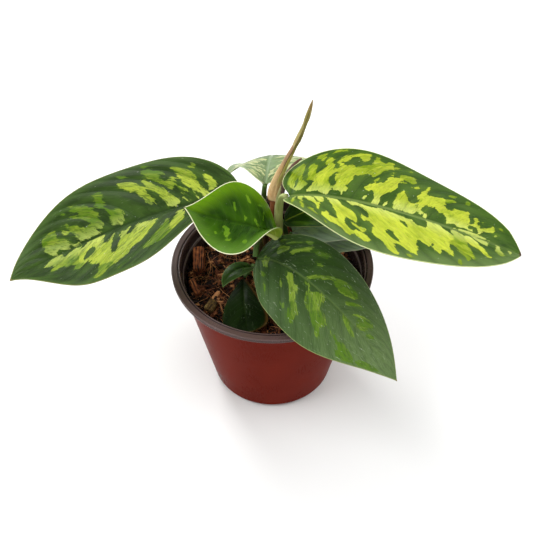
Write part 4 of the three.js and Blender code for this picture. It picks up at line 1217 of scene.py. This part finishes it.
def make_crumbs(material):
    """Loose bits of husk over the mix, most of them small."""
    dice = random.Random(CRUMBS["seed"])
    ring = circle(CRUMBS["sides"])
    heap = Heap()
    for _ in range(CRUMBS["count"]):
        x, y = strewn(dice, CRUMBS["reach"])
        size = 0.5 + 2.4 * dice.random() ** 4
        long = size * dice.uniform(1.2, 3.4)
        at = (x, y, soil_height(x, y) + 0.25 * size)
        bit = [(0, -long / 2, 0)]
        for share in (-0.34, 0.05, 0.36):
            for across, up in ring:
                r = size / 2 * dice.uniform(0.6, 1.15)
                bit.append((r * across, share * long, 0.7 * r * up))
        bit.append((0, long / 2, 0))
        bit = placed(bit, at, dice.uniform(0, 360), dice.uniform(-35, 35))
        heap.add(bit, loft_faces(3, len(ring)), dice.random() ** 1.5)
    return heap.piece("husk_crumbs", material, smooth=False)


def make_fibres(material):
    """Curled coir fibres that lie over the mix."""
    dice = random.Random(FIBRES["seed"])
    steps, ring = FIBRES["steps"], circle(FIBRES["sides"])
    heap = Heap()
    for k in range(FIBRES["count"]):
        x, y = strewn(dice, FIBRES["reach"])
        heading, bend = dice.uniform(0, 2 * math.pi), dice.uniform(-0.28, 0.28)
        stride = 0.25 + 1.2 * dice.random() ** 2
        thick = dice.uniform(0.06, 0.17)
        rise = dice.uniform(0.2, 1.5)
        tone = dice.uniform(0.2, 1.1)
        if k % FIBRES["long_every"] == 0:
            stride, thick, rise, tone = 1.9, 0.19, 2.4, 1.15
            bend *= 0.6
        points = []
        for step in range(steps + 1):
            if math.hypot(x, y) > FIBRES["turn_at"]:
                heading += 2.2
            lift = rise * math.sin(math.pi * step / steps)
            points.append((x, y, soil_height(x, y) + 0.3 + lift))
            heading += bend + dice.uniform(-0.2, 0.2)
            x += stride * math.cos(heading)
            y += stride * math.sin(heading)
        bit = [points[0]]
        for step, (x, y, z) in enumerate(points):
            r = thick * (1 - 0.6 * step / steps)
            bit += [(x + r * across, y + r * across * 0.3, z + r * up) for across, up in ring]
        bit.append(points[-1])
        heap.add(bit, loft_faces(steps + 1, len(ring)), tone)
    return heap.piece("coir_fibres", material, smooth=True)


def make_rod(name, route, half_widths, flatness, material, shape=None, rings=60, around=28,
             sway=0):
    """A stem along a route; shape(share, angle) gives a factor on its radius."""
    share = np.linspace(0, 1, rings)
    place, heading = cubic(route, share)
    deep = unit(np.cross(heading, [1.0, 0, 0]))
    wide = np.cross(deep, heading)
    place = place + sway * np.sin(2 * np.pi * share)[:, None] * wide
    radius = np.interp(share, np.linspace(0, 1, len(half_widths)), half_widths)
    angle = 2 * np.pi * np.arange(around) / around
    share_grid, angle_grid = np.meshgrid(share, angle, indexing="ij")
    factor = np.ones_like(share_grid) if shape is None else shape(share_grid, angle_grid)
    size = radius[:, None] * factor
    x, z = size * np.cos(angle_grid), size * flatness * np.sin(angle_grid)
    points = place[:, None] + wide[:, None] * x[..., None] + deep[:, None] * z[..., None]
    vertices = np.concatenate([place[:1], points.reshape(-1, 3), place[-1:]])
    piece = make_object(name, vertices, turned_outward(loft_faces(rings, around)), [material])
    for label, grid in (("reach", share_grid), ("turn", angle_grid / (2 * np.pi))):
        values = grid.ravel()
        add_values(piece, label, np.concatenate([values[:1], values, values[-1:]]))
    return piece


def stem_paint(name, foot, middle, top, gloss=0.45):
    """A stem's skin: fine lines along it, and its colour changing from foot to top."""
    paint = Paint(name)
    lines = paint.noise(paint.body_map(16, 1.2), detail=3, roughness=0.6)
    blotch = paint.noise(paint.body_map(2.5, 1), detail=3)
    shade = paint.sum(paint.attribute("reach"), (blotch, 0.2))
    colour = paint.cover(
        paint.mix(paint.step(shade, 0.25, 0.7), foot, middle),
        (paint.step(shade, 0.7, 1), 1, top),
        (paint.step(lines, 0.5, 0.7), 0.35, top),
    )
    paint.flesh(0.08, (0.5, 1.0, 0.25))
    satin = paint.sum(gloss, (blotch, 0.2))
    return paint.finished(colour, satin, 0.2, (lines, 0.15), (blotch, 0.1))


def rooted(route):
    """The route with its first point, given as x and y alone, put deep in the mix."""
    (x, y), *rest = route
    return [[x, y, SOIL["level"] - SOIL["stem_depth"]], *rest]


def channelled(share, angle):
    """A stem with a shallow channel on its upper side and a swollen foot."""
    gap = np.angle(np.exp(1j * (angle - np.pi / 2)))
    return 1 - 0.16 * np.exp(-((gap / 0.4) ** 2)) + 0.12 * np.exp(-((share / 0.1) ** 2))


def pleated(share, angle):
    """The closed spathe: one edge laps over the other along a seam, with fine pleats."""
    gap = np.angle(np.exp(1j * (angle - 5.1 + 0.5 * np.sin(3 * share))))
    lap = 0.16 * np.where(gap > 0, np.exp(-gap / 0.7), -0.4 * np.exp(gap / 0.25))
    return 1 + lap * (1 - share) ** 0.3 + 0.025 * np.sin(9 * angle + 4 * share)


def spathe_paint():
    """Dry tan, olive painted shade down one side, a dark seam and a red-brown ring at its foot."""
    paint = Paint("spathe_skin")
    reach = paint.attribute("reach")
    lines = paint.noise(paint.body_map(14, 1.0), detail=3, roughness=0.6)
    blotch = paint.noise(paint.body_map(2.4, 1.1), detail=3)
    side = paint.sum(paint.attribute("turn"), (blotch, 0.1))
    olive = paint.mix(paint.step(reach, 0.45, 0.65), (168, 158, 84), (100, 94, 38))
    upper = paint.sum(reach, (blotch, 0.5))
    seam = paint.step(paint.away(side, 0.73), 0.02, 0.005)
    colour = paint.cover(
        paint.mix(paint.step(blotch, 0.35, 0.65), (192, 150, 100), (214, 182, 132)),
        (paint.step(upper, 0.36, 0.48), 1, (164, 130, 100)),
        (paint.step(upper, 0.54, 0.68), 1, (176, 164, 104)),
        # Painted shade in olive down one side of the spathe, darker higher up.
        (paint.step(side, 0.72, 0.76), paint.step(reach, 0.2, 0.32), olive),
        (paint.step(reach, 0.65, 0.85), 1, (136, 126, 68)),
        (paint.step(reach, 0.88, 0.95), 1, (140, 118, 72)),
        (paint.step(lines, 0.52, 0.7), 0.4, (226, 204, 156)),
        (seam, paint.step(reach, 0.25, 0.45), (72, 58, 34)),
        (paint.step(reach, 0.035, 0.01), 1, (120, 66, 38)),
    )
    satin = paint.sum(0.55, (blotch, 0.25))
    return paint.finished(colour, satin, 0.2, (lines, 0.25), (blotch, 0.2))


HUSK = husk_paint("husk_bits", (14, 7, 4), (98, 50, 25), (212, 148, 98))
CHUNK = husk_paint("husk_chunks", (26, 12, 7), (122, 64, 32), (166, 100, 56))
OLIVE_CHIP = husk_paint("husk_olive", (52, 38, 18), (104, 80, 42), (150, 124, 76))
OLIVE_STEM = stem_paint("petiole_olive", (120, 120, 64), (148, 158, 90), (168, 178, 112))
DARK_STEM = stem_paint("petiole_dark", (80, 62, 42), (62, 84, 40), (84, 112, 54))
RED_STEM = stem_paint("stalk_red_brown", (84, 50, 30), (112, 60, 36), (146, 88, 52))
PALE_SKIN = stem_paint("sheath_pale", (128, 128, 76), (158, 160, 108), (190, 186, 140))
DRY_SKIN = stem_paint("sheath_dry", (108, 84, 74), (136, 116, 110), (92, 54, 40), gloss=0.7)

# The spathe, its stalk and two sheaths: slot, node it stands for, and form. The last one hugs the
# stem of the right leaf and stands for none.
RODS = {
    "stalk_skin": ("stalk", ["spathe_stalk"], {
        "route": rooted([[2, 16.5], [1, 14, 90], [0.2, 13, 105], [0.3, 13, 117.5]]),
        "half_widths": [1.9, 1.6], "flatness": 1, "material": RED_STEM, "shape": channelled,
    }),
    "spathe_closed": ("spathe", ["spathe"], {
        "route": [[0.3, 13, 118], [2.5, 13, 131], [13, 13, 160], [19.4, 14, 181]],
        "half_widths": [2.7, 3.1, 3.2, 3, 2.8, 2.6, 2.4, 2.2, 2, 1.85, 1.7, 1.5, 1.3, 1.55, 1.5,
                        1.2, 1.1, 1.3, 1.15, 0.8, 0.2],
        "flatness": 0.8, "material": spathe_paint(), "shape": pleated, "rings": 90, "around": 48,
        "sway": -1,
    }),
    "dry_sheath_strip": ("dry_sheath", ["dry_sheath"], {
        "route": rooted([[5.5, 20.5], [2.5, 19, 110], [4, 13.5, 137], [15.2, 20.8, 139.4]]),
        "half_widths": [1.6, 1.6, 1.5, 1.5, 1.5, 1.4, 1.4, 1.3, 1.1, 0.8, 0.4],
        "flatness": 0.45, "material": DRY_SKIN, "shape": pleated, "rings": 80,
    }),
    "petiole_right_sheath": ("petiole", [], {
        "route": [[4.6, 8.6, 90], [2.4, 7.2, 104], [1.6, 5, 122], [4.4, 4.4, 135]],
        "half_widths": [0.6, 1.7, 1.8, 1.7, 1.4, 0.9, 0.1],
        "flatness": 0.4, "material": PALE_SKIN, "rings": 50,
    }),
}

for leaf_name, leaf in LEAVES.items():
    blade = make_blade(leaf_name, leaf, LEAF_SKINS[leaf["look"]])
    settle(blade, LOOKS[leaf["look"]]["slot"], leaf_name)
settle(make_pot(), "pot_plastic", "pot")
settle(make_soil(), "planting_mix", "soil")
settle(make_crumbs(HUSK), "coconut_husk")
settle(make_fibres(HUSK), "coconut_husk")
for number, (chip_name, (at, size, turn, lean)) in enumerate(CHIPS.items()):
    block, faces, tones = husk_block(size, 3.7 * number)
    bark = OLIVE_CHIP if chip_name == "husk_chip_front_left" else CHUNK
    chip = make_object(chip_name + "_bark", placed(block, at, turn, lean), faces, [bark])
    add_values(chip, "tone", tones)
    settle(chip, "coconut_husk", chip_name)
for leaf_name, leaf in LEAVES.items():
    stem_name = leaf_name.replace("leaf", "petiole")
    skin = OLIVE_STEM if leaf_name in ("leaf_right", "leaf_left") else DARK_STEM
    stem = make_rod(stem_name + "_skin", rooted(leaf["petiole"]), leaf["petiole_radius"], 0.85,
                    skin, channelled)
    settle(stem, "petiole", stem_name)
for rod_name, (slot, nodes, form) in RODS.items():
    settle(make_rod(rod_name, **form), slot, *nodes)


# A pale floor just under the pot.
FLOOR = {"half_size": 1800, "height": -1}
floor_paint = Paint("studio_floor")
floor_paint.set(Roughness=0.8)
floor_paint.shader.inputs["Base Color"].default_value = (0.88, 0.88, 0.88, 1)
floor_corners = [
    (x * FLOOR["half_size"], y * FLOOR["half_size"], FLOOR["height"])
    for x, y in ((-1, -1), (1, -1), (1, 1), (-1, 1))]
floor = make_object("studio_floor", floor_corners, [(0, 1, 2, 3)], [floor_paint.material])

world = bpy.data.worlds.new("studio")
bpy.context.scene.world = world
world.use_nodes = True
background = world.node_tree.nodes["Background"].inputs
background["Color"].default_value = (1, 1, 1, 1)
background["Strength"].default_value = 0.8


def add_light(name, place, aim, size, power):
    """A round soft light, with its place, aim and size in metres."""
    data = bpy.data.lights.new(name, "AREA")
    data.shape = "DISK"
    data.size = size
    data.energy = power
    lamp = bpy.data.objects.new(name, data)
    bpy.context.collection.objects.link(lamp)
    lamp.location = place
    toward = [a - b for a, b in zip(aim, place)]
    lamp.rotation_euler = Vector(toward).to_track_quat("-Z", "Y").to_euler()


add_light("key", (-0.6, -0.25, 1.0), (0, 0, 0.08), 0.7, 6)
add_light("back", (-0.5, 0.85, 0.95), (0, 0, 0.1), 0.5, 9)
add_light("fill", (0.9, 0.1, 0.9), (0, 0, 0.08), 0.9, 4)

# The camera at the photo's viewing angle, with a sensor of this width in millimetres.
SENSOR = 36
camera_data = bpy.data.cameras.new("camera")
camera_data.sensor_width = SENSOR
camera_data.lens = SENSOR * PHOTO_FOCAL / PHOTO_SIZE
camera_data.shift_x = (PHOTO_SIZE / 2 - PHOTO_CENTRE[0]) / PHOTO_SIZE
camera_data.shift_y = (PHOTO_CENTRE[1] - PHOTO_SIZE / 2) / PHOTO_SIZE
camera = bpy.data.objects.new("camera", camera_data)
bpy.context.collection.objects.link(camera)
tilt = math.radians(CAMERA_ELEVATION)
camera.location = (
    0, -CAMERA_DISTANCE * math.cos(tilt) * MM,
    (POT["height"] + CAMERA_DISTANCE * math.sin(tilt)) * MM)
camera.rotation_euler = (math.radians(90) - tilt, 0, 0)
bpy.context.scene.camera = camera
bpy.context.scene.view_settings.view_transform = "Standard"
